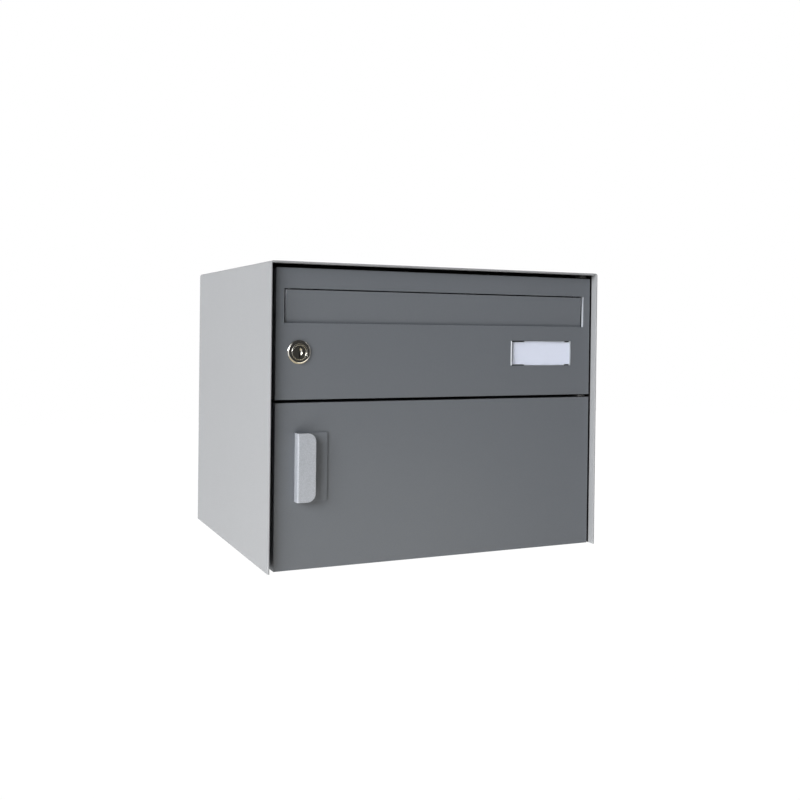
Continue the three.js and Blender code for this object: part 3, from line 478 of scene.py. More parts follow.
def soften_edges(made, width, segments=2):
    """Breaks every sharp edge of a cut sheet and keeps its flats flat."""
    bevel = made.modifiers.new("broken_edges", "BEVEL")
    bevel.width = width
    bevel.segments = segments
    bevel.limit_method = "ANGLE"
    bevel.angle_limit = math.radians(30)
    made.data.shade_smooth()
    return keep_flats(made)


def plain_piece(node, name, body, slot, material, edge=0.0003, segments=2):
    """A piece that keeps its node's own shape, with its sharp edges broken by the width of edge."""
    finish_piece(soften_edges(cad_copy(node, name), edge, segments), body, slot, material, node)


inner_paint = coated("inner_silver", (0.395, 0.402, 0.415), roughness=0.5, dust=0.25,
                     coat={"grain": 0.06, "drift": 0.05}, metallic=0.15)
for node, name in (("rear_panel", "rear_tray"), ("bottom_panel", "floor_sheet"), ("divider_shelf", "shelf")):
    plain_piece(node, name, "housing", "shell_silver", inner_paint)


# ------------------------------------------------------------------ front frame
# One sheet with two openings, folded back along the sides and the top and riveted in the sleeve. It is
# coated matt black, so that the gaps round the doors look dark.
frame_paint = coated("frame_black", (0.024, 0.023, 0.023), roughness=0.55, dust=0.04,
                     coat={"grain": 0.35, "drift": 0.2})
plain_piece("front_frame", "door_frame", "housing", "frame_black", frame_paint)


# ------------------------------------------------------------------ door seals
# Strips of black foam rubber with a round back, glued on the frame where the doors close. The upper
# one runs below, beside and above its opening, and the lower one beside and above.
def rubber_group():
    """Moulded or foamed rubber: fine pores and a chalky bloom."""
    tree, given, made, place = shader_group("rubber_skin", colour=(0.009, 0.009, 0.009), bloom=0.3,
                                            pore_scale=1400.0)
    pores = add_node(tree, "ShaderNodeTexVoronoi", {"Vector": place, "Scale": given["Pore Scale"]})
    bloom = maths(tree, "MULTIPLY", noise(tree, place, 90.0, 4.0), given["Bloom"])
    return feed(tree, made, colour=shaded(tree, given["Colour"], maths(tree, "ADD", bloom, 0.85)),
                roughness=maths(tree, "ADD", bloom, 0.62), height=pores.outputs["Distance"])


def skinned(name, group, relief, metallic=0.0, subsurface_weight=0.0, **values):
    """A material whose colour, gloss and fine relief all come from one shader group."""
    material, tree, surface = new_material(name, metallic=metallic, subsurface_weight=subsurface_weight)
    skin = grouped(tree, group, **values)
    dress(tree, surface, skin["Colour"], skin["Roughness"], skin["Height"], relief)
    return material


SEAL_WIDTH = 0.005
SEAL_ROUND = 0.0018
SEAL_CORNER = 0.0035
seal_rubber = skinned("seal_rubber", rubber_group(), relief=0.0001)
for node, runs_below in (("upper_seal", True), ("lower_seal", False)):
    low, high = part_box(node)
    half = SEAL_WIDTH / 2
    middle = (low[1] + high[1]) / 2
    left, top, bottom = low[0] + half, high[2] - half, low[2] + half
    start = [(high[0], middle, bottom), (left, middle, bottom)] if runs_below else [(left, middle, low[2])]
    route = line_mesh(node + "_line", [*start, (left, middle, top), (high[0], middle, top)])
    seal = grow(node + "_strip", route, swept_section,
                thickness=SEAL_WIDTH, run=high[1] - low[1], bend_radius=SEAL_CORNER, bend_steps=8,
                corner_radius=SEAL_ROUND, corner_steps=5)
    finish_piece(smooth_flats(seal), "housing", "seal_rubber", seal_rubber, node)


# ------------------------------------------------------------------ hinge brackets
# Three angles of 2 mm steel in the frame's black coat. Each has a level nose with the pin's hole in it
# and a tab that lies on the frame.
for level in ("top", "middle", "bottom"):
    plain_piece("hinge_bracket_" + level, "hinge_angle_" + level, "housing", "frame_black", frame_paint,
                edge=0.0002)


# ------------------------------------------------------------------ rivets and hinge pins
# Blacked steel: a pair of blind rivets holds each bracket to the frame, heads in front, and a turned pin
# is pressed in its nose for the doors to hang on.
def turned_parts_tree():
    """Turns the incoming line of edges about Z, and sets a copy at each loose point that comes in
    beside it. The line's X is the radius. Across Flats over 0 cuts the outside to a hexagon."""
    tree, given = new_geometry_tree("turned_parts", segments="Int", turn="Vector", across_flats="Float")
    beside = add_node(tree, "GeometryNodeInputMeshVertexNeighbors").outputs["Vertex Count"]
    on_line = add_node(tree, "FunctionNodeCompare", {2: beside, 3: 0}, data_type="INT",
                       operation="GREATER_THAN")
    parted = add_node(tree, "GeometryNodeSeparateGeometry", [given["Geometry"], on_line.outputs[0]])
    profile = add_node(tree, "GeometryNodeMeshToCurve", [parted.outputs[0]])
    circle_radius = 0.001
    ring = add_node(tree, "GeometryNodeCurvePrimitiveCircle", {
        "Resolution": given["Segments"], "Radius": circle_radius})
    x, y, z = add_node(tree, "ShaderNodeSeparateXYZ", [
        add_node(tree, "GeometryNodeInputPosition").outputs[0]]).outputs
    from_ring = add_node(tree, "ShaderNodeCombineXYZ", [
        maths(tree, "SUBTRACT", x, circle_radius), maths(tree, "MULTIPLY", z, -1.0), 0.0])
    laid = add_node(tree, "GeometryNodeSetPosition", {
        "Geometry": profile.outputs[0], "Position": from_ring.outputs[0]})
    lathed = add_node(tree, "GeometryNodeCurveToMesh", [ring.outputs[0], laid.outputs[0]])
    closed = add_node(tree, "GeometryNodeMergeByDistance", {"Geometry": lathed.outputs[0], "Distance": 2e-6})
    hexed = add_node(tree, "GeometryNodeSetPosition", {
        "Geometry": closed.outputs[0], "Position": hexagon_limit(tree, given["Across Flats"])})
    turned = add_node(tree, "GeometryNodeInstanceOnPoints", {
        "Points": parted.outputs[1], "Instance": hexed.outputs[0], "Rotation": given["Turn"]})
    return end_geometry_tree(tree, turned.outputs[0], given["Material"])


def hexagon_limit(tree, across_flats):
    """The position, pulled in to a hexagon about Z where it would stand out of it."""
    place = add_node(tree, "GeometryNodeInputPosition").outputs[0]
    x, y, z = add_node(tree, "ShaderNodeSeparateXYZ", [place]).outputs
    squares = maths(tree, "ADD", maths(tree, "MULTIPLY", x, x), maths(tree, "MULTIPLY", y, y))
    radius = maths(tree, "SQRT", squares)
    sixth = math.pi / 3
    angle = maths(tree, "WRAP", maths(tree, "ARCTAN2", y, x), sixth / 2, -sixth / 2)
    limit = maths(tree, "DIVIDE", maths(tree, "MULTIPLY", across_flats, 0.5), maths(tree, "COSINE", angle))
    share = maths(tree, "MINIMUM", maths(tree, "DIVIDE", limit, maths(tree, "MAXIMUM", radius, 1e-6)), 1.0)
    is_hexagon = maths(tree, "GREATER_THAN", across_flats, 0.0)
    scale = maths(tree, "ADD", maths(tree, "MULTIPLY", is_hexagon, maths(tree, "SUBTRACT", share, 1.0)), 1.0)
    return add_node(tree, "ShaderNodeCombineXYZ", [
        maths(tree, "MULTIPLY", x, scale), maths(tree, "MULTIPLY", y, scale), z]).outputs[0]


def turn_parts(name, profile, places, axis, segments=24, across_flats=0.0, ring=False):
    """Turned copies at the places, along an axis. The profile is (radius, distance) pairs from the axis
    and back to it, or a closed ring."""
    mesh = bpy.data.meshes.new(name)
    count = len(profile)
    edges = [(i, i + 1) for i in range(count - 1)] + ([(count - 1, 0)] if ring else [])
    mesh.from_pydata([(r, 0.0, d) for r, d in profile] + [tuple(p) for p in places], edges, [])
    turn = {"X": (0.0, math.pi / 2, 0.0), "Y": (-math.pi / 2, 0.0, 0.0), "Z": (0.0, 0.0, 0.0)}[axis]
    made = grow(name, mesh, turned_parts, segments=segments, turn=turn, across_flats=across_flats)
    face_outward(made.data)
    return smooth_flats(made, 32.0)


def face_outward(mesh):
    body = bmesh.new()
    body.from_mesh(mesh)
    bmesh.ops.recalc_face_normals(body, faces=body.faces)
    body.to_mesh(mesh)
    body.free()


def node_middle(node):
    low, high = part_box(node)
    return Vector([(a + b) / 2 for a, b in zip(low, high)])


def worked_metal_group():
    """Plated or turned metal: a mottle of plating crystals, small handling stains and a fine grain."""
    tree, given, made, place = shader_group(
        "worked_metal", colour=(0.5, 0.5, 0.5), stain=(0.3, 0.29, 0.27), crystal=0.15, crystal_scale=220.0,
        roughness=0.35, stain_amount=0.2)
    crystals = add_node(tree, "ShaderNodeTexVoronoi", {"Vector": place, "Scale": given["Crystal Scale"]})
    tone = add_node(tree, "ShaderNodeSeparateColor", [crystals.outputs["Color"]]).outputs["Green"]
    light = maths(tree, "ADD", centred(tree, tone, given["Crystal"]), 1.0)
    stained = maths(tree, "MULTIPLY", add_node(tree, "ShaderNodeMapRange", [
        noise(tree, place, 70.0, 5.0), 0.5, 0.75, 0.0, 1.0]).outputs[0], given["Stain Amount"])
    colour = mixed_colour(tree, stained, shaded(tree, given["Colour"], light), given["Stain"])
    gloss = maths(tree, "ADD", centred(tree, tone, 0.06), maths(tree, "MULTIPLY", stained, 0.35))
    return feed(tree, made, colour=colour, roughness=maths(tree, "ADD", given["Roughness"], gloss),
                height=noise(tree, place, 1400.0, 3.0))


def metal(name, colour, roughness, relief=0.000008, metallic=1.0, **plating):
    return skinned(name, worked_metal, relief, metallic, colour=colour, roughness=roughness, **plating)


def chamfered_bar(radius, start, end):
    chamfer = 0.0003
    return [(0.0, start), (radius - chamfer, start), (radius, start + chamfer), (radius, end - chamfer),
            (radius - chamfer, end), (0.0, end)]


worked_metal = worked_metal_group()
turned_parts = turned_parts_tree()
blacked_steel = metal("blacked_steel", (0.028, 0.028, 0.03), roughness=0.42, metallic=0.6,
                      stain=(0.06, 0.05, 0.045))

RIVET_HEAD_RADIUS = 0.003
RIVET_HEAD_HEIGHT = 0.001
RIVET_DOME = 0.9 * RIVET_HEAD_HEIGHT
RIVET_CORE_RADIUS = 0.0009
RIVET_CORE_DEPTH = 0.0004
RIVET_SHANK = 0.0013
RIVET_BULB = 0.0024
RIVET_BULB_LENGTH = 0.002
rivets = ["bracket_rivet_%d" % number for number in range(1, 7)]
low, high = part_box(rivets[0])
tail = (high[1] - low[1]) / 2
head = -tail
under_head = head + RIVET_HEAD_HEIGHT
core_floor = head + RIVET_CORE_DEPTH
dome = [(RIVET_HEAD_RADIUS * math.sin(a), head + RIVET_DOME * (1 - math.cos(a)))
        for a in (math.radians(d) for d in (22, 36, 50, 64, 78, 90))]
bulb = [(RIVET_BULB * width, tail - RIVET_BULB_LENGTH * share)
        for width, share in ((0.8, 0.95), (1.0, 0.6), (0.85, 0.2))]
rivet_profile = [(0.0, core_floor), (RIVET_CORE_RADIUS * 0.8, core_floor), (RIVET_CORE_RADIUS, head),
                 *dome, (RIVET_HEAD_RADIUS, under_head), (RIVET_SHANK, under_head),
                 (RIVET_SHANK, tail - RIVET_BULB_LENGTH), *bulb, (RIVET_SHANK, tail), (0.0, tail)]
finish_piece(turn_parts("bracket_rivets", rivet_profile, [node_middle(n) for n in rivets], "Y"),
             "housing", "frame_black", blacked_steel, *rivets)

for level in ("top", "middle", "bottom"):
    node = "hinge_pin_" + level
    low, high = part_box(node)
    half = (high[2] - low[2]) / 2
    pin = turn_parts("pivot_pin_" + level, chamfered_bar((high[0] - low[0]) / 2, -half, half),
                     [node_middle(node)], "Z")
    finish_piece(pin, "housing", "frame_black", blacked_steel, node)


# ------------------------------------------------------------------ magnetic catch
# A black moulded case beside the frame's left bar, screwed on from behind, with a flat magnet between
# two steel pole plates. It holds the parcel door by its counter plate.
def moulded_group():
    """Injection moulded plastic: a fine spark-eroded texture and slow flow marks."""
    tree, given, made, place = shader_group("moulded_plastic", colour=(0.016, 0.016, 0.017), flow=0.1,
                                            roughness=0.45)
    flow = centred(tree, noise(tree, place, 45.0, 3.0), given["Flow"])
    return feed(tree, made, colour=shaded(tree, given["Colour"], maths(tree, "ADD", flow, 1.0)),
                roughness=maths(tree, "ADD", given["Roughness"], flow), height=noise(tree, place, 2200.0))


def prism(name, outline, depth):
    """A flat outline of points, drawn out along a vector to a closed solid."""
    count = len(outline)
    start = [Vector(point) for point in outline]
    mesh = bpy.data.meshes.new(name)
    mesh.from_pydata(start + [point + Vector(depth) for point in start], [],
                     [range(count), range(count, 2 * count)]
                     + [(i, (i + 1) % count, count + (i + 1) % count, count + i) for i in range(count)])
    face_outward(mesh)
    return set_in_scene(name, mesh)


def block(name, low, high):
    """A block between two corners, as a new object."""
    x0, y0, z0 = low
    x1, y1, z1 = high
    return prism(name, [(x0, y0, z0), (x1, y0, z0), (x1, y1, z0), (x0, y1, z0)], (0.0, 0.0, z1 - z0))


def joined(made, *others):
    """Takes the other objects' meshes into the first one."""
    body = bmesh.new()
    for each in (made, *others):
        body.from_mesh(each.data)
    body.to_mesh(made.data)
    body.free()
    for other in others:
        bpy.data.objects.remove(other)
    return made


def thread_rings(outside, depth, start, end, pitch):
    """The crests and roots of a thread for a profile, one of each to a turn."""
    return [(outside - depth if i % 2 else outside, start + i * pitch / 2)
            for i in range(int((end - start) / (pitch / 2)))]


moulded_plastic = moulded_group()
black_plastic = skinned("black_plastic", moulded_plastic, relief=0.00002)
zinc_plate = metal("zinc_plate", (0.60, 0.62, 0.64), roughness=0.34)
magnet_grey = metal("magnet_grey", (0.10, 0.10, 0.105), roughness=0.5, relief=0.00003, metallic=0.3,
                    stain=(0.05, 0.045, 0.04), crystal=0.3, crystal_scale=900.0)
plain_piece("magnet_catch", "catch_case", "housing", "black_plastic", black_plastic, edge=0.0005, segments=3)

POLE_PLATE = 0.0012
POLE_GAP = 0.00002
MAGNET_RECESS = 0.0005
low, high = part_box("catch_magnet")
poles = [block("pole", (x, low[1], low[2]), (x + POLE_PLATE, high[1], high[2]))
         for x in (low[0], high[0] - POLE_PLATE)]
pole_plates = joined(*poles)
pole_plates.name = "catch_pole_plates"
finish_piece(soften_edges(pole_plates, width=0.0002), "housing", "zinc_steel", zinc_plate)
inset = POLE_PLATE + POLE_GAP
magnet = block("catch_ferrite", (low[0] + inset, low[1] + MAGNET_RECESS, low[2] + inset),
               (high[0] - inset, high[1], high[2] - inset))
finish_piece(soften_edges(magnet, width=0.0003), "housing", "magnet_steel", magnet_grey, "catch_magnet")

SCREW_HEAD_HEIGHT = 0.0018
SCREW_HEAD_RADIUS = 0.003
SCREW_HEAD_WALL = 0.0008
SCREW_HEAD_ROUND = 0.0004
SCREW_THREAD_RADIUS = 0.0013
SCREW_THREAD_DEPTH = 0.0003
SCREW_PITCH = 0.0005
SCREW_POINT = 0.0004
screws = ["catch_screw_1", "catch_screw_2"]
low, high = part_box(screws[0])
back = (high[1] - low[1]) / 2
tip = -back
under_head = back - SCREW_HEAD_HEIGHT
thread = thread_rings(SCREW_THREAD_RADIUS, SCREW_THREAD_DEPTH, tip + SCREW_POINT, under_head, SCREW_PITCH)
pan_head = [(SCREW_HEAD_RADIUS, under_head), (SCREW_HEAD_RADIUS, under_head + SCREW_HEAD_WALL),
            (SCREW_HEAD_RADIUS - SCREW_HEAD_ROUND, back - SCREW_HEAD_ROUND),
            (SCREW_HEAD_RADIUS - 3 * SCREW_HEAD_ROUND, back), (0.0, back)]
screw_profile = [(0.0, tip), *thread, (SCREW_THREAD_RADIUS - SCREW_THREAD_DEPTH, under_head), *pan_head]
finish_piece(turn_parts("catch_screws", screw_profile, [node_middle(n) for n in screws], "Y"),
             "housing", "zinc_steel", zinc_plate, *screws)


# ------------------------------------------------------------------ letter door
# A pan folded from 2 mm aluminium with round outer bends, coated a satin middle grey. Its edges and the
# slot's cut sides are painted lighter, as a painted highlight. It has the letter slot, whose ends are
# folded inward, the name plate's window and the lock's hole.
NEAR = 0.0001


def rolled_edges(made, radius, radius_at, plain, segments=5):
    """Rounds the sharp edges, each by its own radius: radius_at(middle of the edge) or the plain one."""
    body = bmesh.new()
    body.from_mesh(made.data)
    weights = body.edges.layers.float.new("bevel_weight_edge")
    for edge in body.edges:
        if len(edge.link_faces) == 2 and edge.calc_face_angle(0.0) > math.radians(30):
            middle = (edge.verts[0].co + edge.verts[1].co) / 2
            edge[weights] = (radius_at(middle) or plain) / radius
    body.to_mesh(made.data)
    body.free()
    bevel = made.modifiers.new("rolled_edges", "BEVEL")
    bevel.width = radius
    bevel.segments = segments
    bevel.limit_method = "WEIGHT"
    made.data.shade_smooth()
    return keep_flats(made)


def door_folds(low, high):
    """The radius of an edge of a door pan: a full bend round its face and a small one at its corners."""
    def radius_at(at):
        gaps = (at.x - low[0], at.x - high[0], at.z - low[2], at.z - high[2])
        sides_met = sum(abs(gap) < NEAR for gap in gaps)
        if abs(at.y - low[1]) < NEAR and sides_met:
            return DOOR_BEND
        return DOOR_CORNER if sides_met == 2 else None
    return radius_at


def door_coat(name, colour, roughness):
    return coated(name, colour, roughness, peel=0.000018, dust=0.06, dust_colour=(0.25, 0.24, 0.22))


def finish_painted_pan(pan, body, node, sides=(), facing=1.0):
    """The edges of a pan and its cut sides, at the X values in sides, get a lighter paint: a painted
    highlight. These sides face away from the middle, or towards it with facing at -1."""
    pan.modifiers["rolled_edges"].material = 1
    finish_piece(pan, body, "door_grey", door_paint, node)
    pan.data.materials.append(edge_highlight_paint)
    for face in pan.data.polygons:
        outward = facing * face.normal.x * math.copysign(1.0, face.center.x)
        beside = any(abs(face.center.x - x) < 2 * NEAR for x in sides)
        face.material_index = int(beside and outward > 0.9)


def folded_door(node, name, body, **cut_sides):
    pan = rolled_edges(cad_copy(node, name), DOOR_BEND, door_folds(*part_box(node)), PAN_EDGE)
    finish_painted_pan(pan, body, node, **cut_sides)


DOOR_BEND = 0.0018
DOOR_CORNER = 0.0009
PAN_EDGE = 0.0005
SLOT_SIDES = (-0.1826, 0.1862)
door_paint = door_coat("door_grey", (0.141, 0.151, 0.168), roughness=0.48)
# A lighter grey painted on the pans' edges and cut sides, as a painted highlight.
edge_highlight_paint = door_coat("door_edge_grey", (0.47, 0.49, 0.53), roughness=0.34)
folded_door("upper_door_panel", "letter_door", "upper_door", sides=SLOT_SIDES, facing=-1.0)


# ------------------------------------------------------------------ door bushes
# Small flanged bushes of white nylon, pressed from inside into the holes at each door's top and bottom
# edge. They turn on the hinge pins.
BUSH_BORE = 0.00195
BUSH_FLANGE = 0.001
BUSH_STEP = 0.0007
BUSH_CHAMFER = 0.0002
nylon = skinned("nylon_white", moulded_plastic, relief=0.00002, subsurface_weight=0.1,
                colour=(0.68, 0.67, 0.62), roughness=0.42)
for door, body in (("upper", "upper_door"), ("lower", "lower_door")):
    for end in ("top", "bottom"):
        node = "%s_bush_%s" % (door, end)
        low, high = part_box(node)
        half = (high[2] - low[2]) / 2
        flange_radius = (high[0] - low[0]) / 2
        sleeve_radius = flange_radius - BUSH_STEP
        under_flange = half - BUSH_FLANGE
        into_door = 1.0 if end == "bottom" else -1.0
        profile = [(BUSH_BORE, -half), (sleeve_radius, -half), (sleeve_radius, under_flange),
                   (flange_radius, under_flange), (flange_radius - BUSH_CHAMFER, half),
                   (BUSH_BORE + BUSH_CHAMFER, half)]
        bush = turn_parts("bush_%s_%s" % (door, end), [(r, d * into_door) for r, d in profile],
                          [node_middle(node)], "Z", segments=32, ring=True)
        finish_piece(bush, body, "nylon_white", nylon, node)


# ------------------------------------------------------------------ letter flap
# A shallow pan of 1.5 mm sheet in the doors' grey, with an eye at each end of its top. It hangs on a
# rod behind the slot and opens inward.
FLAP_BEND = 0.0012
FLAP_LEAN = 0.0035
FLAP_TOP = 0.001
flap_low, flap_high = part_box("letter_flap")


def flap_fold(at):
    """The bends at both ends of the flap's face, which leans back by up to FLAP_LEAN and ends FLAP_TOP
    below the highest point."""
    in_front = at.y < flap_low[1] + FLAP_LEAN
    at_end = min(abs(at.x - flap_low[0]), abs(at.x - flap_high[0])) < NEAR
    return FLAP_BEND if in_front and at_end and at.z < flap_high[2] - FLAP_TOP else None


flap = rolled_edges(cad_copy("letter_flap", "flap"), FLAP_BEND, flap_fold, PAN_EDGE)
# The flap's bent ends get the same lighter paint, a painted highlight.
finish_painted_pan(flap, "letter_flap", "letter_flap", sides=(flap_low[0], flap_high[0]))


# ------------------------------------------------------------------ flap fittings
# Zinc plated angles behind the door carry the flap's rod. A coil spring round the rod closes the flap
# on two rubber pads.
for side_name in ("left", "right"):
    plain_piece("flap_bracket_" + side_name, "rod_angle_" + side_name, "upper_door", "zinc_steel",
                zinc_plate, edge=0.0002)
    plain_piece("flap_buffer_" + side_name, "flap_pad_" + side_name, "upper_door", "seal_rubber",
                seal_rubber, edge=0.0002, segments=3)

low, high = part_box("flap_rod")
half = (high[0] - low[0]) / 2
finish_piece(turn_parts("rod", chamfered_bar((high[2] - low[2]) / 2, -half, half), [node_middle("flap_rod")],
                        "X"), "upper_door", "zinc_steel", zinc_plate, "flap_rod")


def coil_spring_tree():
    """Close turns of round wire about X, joined to the incoming line of the spring's tail."""
    tree, given = new_geometry_tree("coil_spring", turns="Float", coil_radius="Float", coil_length="Float",
                                    wire_radius="Float", steps="Int", centre="Vector", turn="Vector")
    coil = add_node(tree, "GeometryNodeCurveSpiral", {
        "Resolution": given["Steps"], "Rotations": given["Turns"], "Start Radius": given["Coil Radius"],
        "End Radius": given["Coil Radius"], "Height": given["Coil Length"]})
    laid = add_node(tree, "GeometryNodeTransform", {
        "Geometry": coil.outputs[0], "Translation": given["Centre"], "Rotation": given["Turn"]})
    tail = add_node(tree, "GeometryNodeMeshToCurve", [given["Geometry"]])
    both = add_node(tree, "GeometryNodeJoinGeometry", [laid.outputs[0]])
    tree.links.new(tail.outputs[0], both.inputs[0])
    section = add_node(tree, "GeometryNodeCurvePrimitiveCircle", {
        "Resolution": 8, "Radius": given["Wire Radius"]})
    wire = add_node(tree, "GeometryNodeCurveToMesh", {
        "Curve": both.outputs[0], "Profile Curve": section.outputs[0], "Fill Caps": True})
    return end_geometry_tree(tree, wire.outputs[0], given["Material"])


SPRING_TURNS = 6
SPRING_WIRE = 0.0004
STEPS_PER_TURN = 24
low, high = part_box("flap_spring")
rod_middle = node_middle("flap_rod")
coil_radius = high[1] - SPRING_WIRE - rod_middle.y
tail_line = [(low[0] + SPRING_WIRE, rod_middle.y - coil_radius, z)
             for z in (rod_middle.z, high[2] - SPRING_WIRE)]
spring = grow("flap_spring_coil", line_mesh("spring_tail", tail_line), coil_spring_tree(),
              turns=float(SPRING_TURNS), coil_radius=coil_radius, wire_radius=SPRING_WIRE,
              coil_length=high[0] - low[0] - 2 * SPRING_WIRE, steps=SPRING_TURNS * STEPS_PER_TURN,
              centre=(low[0] + SPRING_WIRE, rod_middle.y, rod_middle.z), turn=(0.0, math.pi / 2, 0.0))
face_outward(spring.data)
spring.data.shade_smooth()
spring_steel = metal("spring_steel", (0.42, 0.43, 0.45), roughness=0.3, crystal=0.08)
finish_piece(spring, "upper_door", "zinc_steel", spring_steel, "flap_spring")


# ------------------------------------------------------------------ cam lock
# A polished nickel plated barrel with a domed collar, held by a flat nut. The plug in it has a raised
# lip round a dark dished face, with a keyway that is scooped out on its right.
def cut_away(made, *tools, operation="DIFFERENCE"):
    """Cuts other solids out of a solid, or keeps what they share, and removes them."""
    for tool in tools:
        cut = made.modifiers.new(tool.name, "BOOLEAN")
        cut.operation = operation
        cut.solver = "EXACT"
        cut.object = tool
    mesh = bpy.data.meshes.new_from_object(made.evaluated_get(bpy.context.evaluated_depsgraph_get()))
    made.modifiers.clear()
    made.data = mesh
    for tool in tools:
        bpy.data.objects.remove(tool)
    return made


def arc(centre, radius, start, end, steps):
    """Points on an arc of a profile, with the angles in degrees from the first axis."""
    angles = [math.radians(start + (end - start) * i / steps) for i in range(steps + 1)]
    return [(centre[0] + radius * math.cos(a), centre[1] + radius * math.sin(a)) for a in angles]


def nickel(name, colour, roughness):
    """Polished nickel with faint turning lines round the lock's axis."""
    material, tree, surface = new_material(name, metallic=1.0)
    skin = grouped(tree, worked_metal, colour=colour, stain=(0.16, 0.15, 0.13), crystal=0.02,
                   crystal_scale=4000.0, roughness=roughness, stain_amount=0.12)
    place = add_node(tree, "ShaderNodeTexCoord").outputs["Object"]
    from_axis = add_node(tree, "ShaderNodeMapping", {
        "Vector": place, "Location": (-lock_axis.x, 0.0, -lock_axis.z), "Scale": (1.0, 0.0, 1.0)})
    length = add_node(tree, "ShaderNodeVectorMath", [from_axis.outputs[0]], operation="LENGTH")
    radius = length.outputs["Value"]
    turning = maths(tree, "SINE", maths(tree, "MULTIPLY", radius, 2 * math.pi / TURNING_PITCH))
    height = maths(tree, "ADD", maths(tree, "MULTIPLY", turning, 0.25), skin["Height"])
    dress(tree, surface, skin["Colour"], skin["Roughness"], height, 0.0000015)
    return material


def hexagon_nut(name, nodes, bore, chamfer, segments):
    """Flat hexagon nuts along Y in the places of their nodes, with two flats upright."""
    low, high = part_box(nodes[0])
    half = (high[1] - low[1]) / 2
    flats = high[0] - low[0]
    corner = flats / math.sqrt(3)
    profile = [(bore, -half), (corner - chamfer, -half), (corner, -half + chamfer / 2),
               (corner, half - chamfer / 2), (corner - chamfer, half), (bore, half)]
    return turn_parts(name, profile, [node_middle(node) for node in nodes], "Y", segments=segments,
                      across_flats=flats, ring=True)


TURNING_PITCH = 0.00022
COLLAR_RADIUS = 0.0127
COLLAR_HEIGHT = 0.0019
COLLAR_CURVE = 0.00287
CURVE_INSET = 0.00227
RIM_RADIUS = 0.0003
RIM_HEIGHT = 0.00122
HEAD_BORE = 0.0086
BORE_ROUND = 0.0002
HEAD_GAP = 0.0003
PLUG_BORE = 0.0072
BARREL_RADIUS = 0.0092
body_low, body_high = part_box("lock_body")
lock_axis = Vector(((body_low[0] + body_high[0]) / 2, 0.0, (body_low[2] + body_high[2]) / 2))
front = body_low[1]
seat = front + COLLAR_HEIGHT
head_seat = seat + HEAD_GAP
collar = [(BARREL_RADIUS, body_high[1]), (BARREL_RADIUS, seat), (COLLAR_RADIUS, seat),
          *arc((COLLAR_RADIUS - RIM_RADIUS, front + RIM_HEIGHT), RIM_RADIUS, 0, -40, 4),
          *arc((COLLAR_RADIUS - CURVE_INSET, front + COLLAR_CURVE), COLLAR_CURVE, -40, -84, 14),
          *arc((HEAD_BORE + BORE_ROUND, front + BORE_ROUND), BORE_ROUND, -90, -180, 3),
          (HEAD_BORE, head_seat), (PLUG_BORE, head_seat), (PLUG_BORE, body_high[1])]
lock_ring = turn_parts("lock_barrel", collar, [lock_axis], "Y", segments=96, ring=True)
nickel_bright = nickel("nickel_bright", (0.78, 0.75, 0.70), roughness=0.12)
finish_piece(lock_ring, "upper_door", "lock_nickel", nickel_bright, "lock_body")

PLUG_HEAD = 0.0084
PLUG_SHANK = 0.0070
SHANK_END = -0.2865
DISH_DEPTH = 0.0006
LIP_OUTER_ROUND = 0.0005
LIP_INNER_ROUND = 0.00015
LIP_CREST = PLUG_HEAD - 0.0010
DISH_RADIUS = PLUG_HEAD - 0.0014
plug_low, plug_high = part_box("lock_plug")
lip = plug_low[1]
face = lip + DISH_DEPTH
head_rear = head_seat - HEAD_GAP
plug_profile = [(0.0, SHANK_END), (PLUG_SHANK, SHANK_END), (PLUG_SHANK, head_rear), (PLUG_HEAD, head_rear),
                *arc((PLUG_HEAD - LIP_OUTER_ROUND, lip + LIP_OUTER_ROUND), LIP_OUTER_ROUND, 0, -90, 5),
                *arc((LIP_CREST, lip + LIP_INNER_ROUND), LIP_INNER_ROUND, -90, -175, 4),
                *arc((DISH_RADIUS, face - LIP_INNER_ROUND), LIP_INNER_ROUND, 5, 90, 3), (0.0, face)]
plug = turn_parts("plug", plug_profile, [lock_axis], "Y", segments=96)
plug.modifiers.clear()

KEYWAY_HALF_WIDTH = 0.0007
KEYWAY_HALF_HEIGHT = 0.0055
KEYWAY_DEPTH = 0.016
SCOOP_WIDTH = 0.0030
SCOOP_DEPTH = 0.0026
SCOOP_HALF_HEIGHT = 0.0052
SCOOP_RISE = 0.0004
CAM_SQUARE = 0.007
CUT_MARGIN = 0.002
SQUARE_OVERLAP = 0.001
x, z = lock_axis.x, lock_axis.z
keyway = block("keyway", (x - KEYWAY_HALF_WIDTH, face - CUT_MARGIN, z - KEYWAY_HALF_HEIGHT),
               (x + KEYWAY_HALF_WIDTH, face + KEYWAY_DEPTH, z + KEYWAY_HALF_HEIGHT))
bowl = bmesh.new()
bmesh.ops.create_uvsphere(bowl, u_segments=48, v_segments=32, radius=1.0, matrix=Matrix.LocRotScale(
    (x, face - SCOOP_RISE, z), None, (SCOOP_WIDTH + KEYWAY_HALF_WIDTH, SCOOP_DEPTH, SCOOP_HALF_HEIGHT)))
scoop_mesh = bpy.data.meshes.new("scoop")
bowl.to_mesh(scoop_mesh)
bowl.free()
scoop = set_in_scene("scoop", scoop_mesh)
beyond = 0.01
left_half = block("left_half", (x - beyond, face - beyond, z - beyond), (x, face + beyond, z + beyond))
cut_away(scoop, left_half)
cut_away(plug, keyway, scoop)
half = CAM_SQUARE / 2
square = block("cam_square", (x - half, SHANK_END - SQUARE_OVERLAP, z - half),
               (x + half, plug_high[1], z + half))
smooth_flats(joined(plug, square), 32.0)
nickel_worn = nickel("nickel_worn", (0.62, 0.60, 0.55), roughness=0.16)
finish_piece(plug, "lock_plug", "lock_nickel", nickel_worn, "lock_plug")

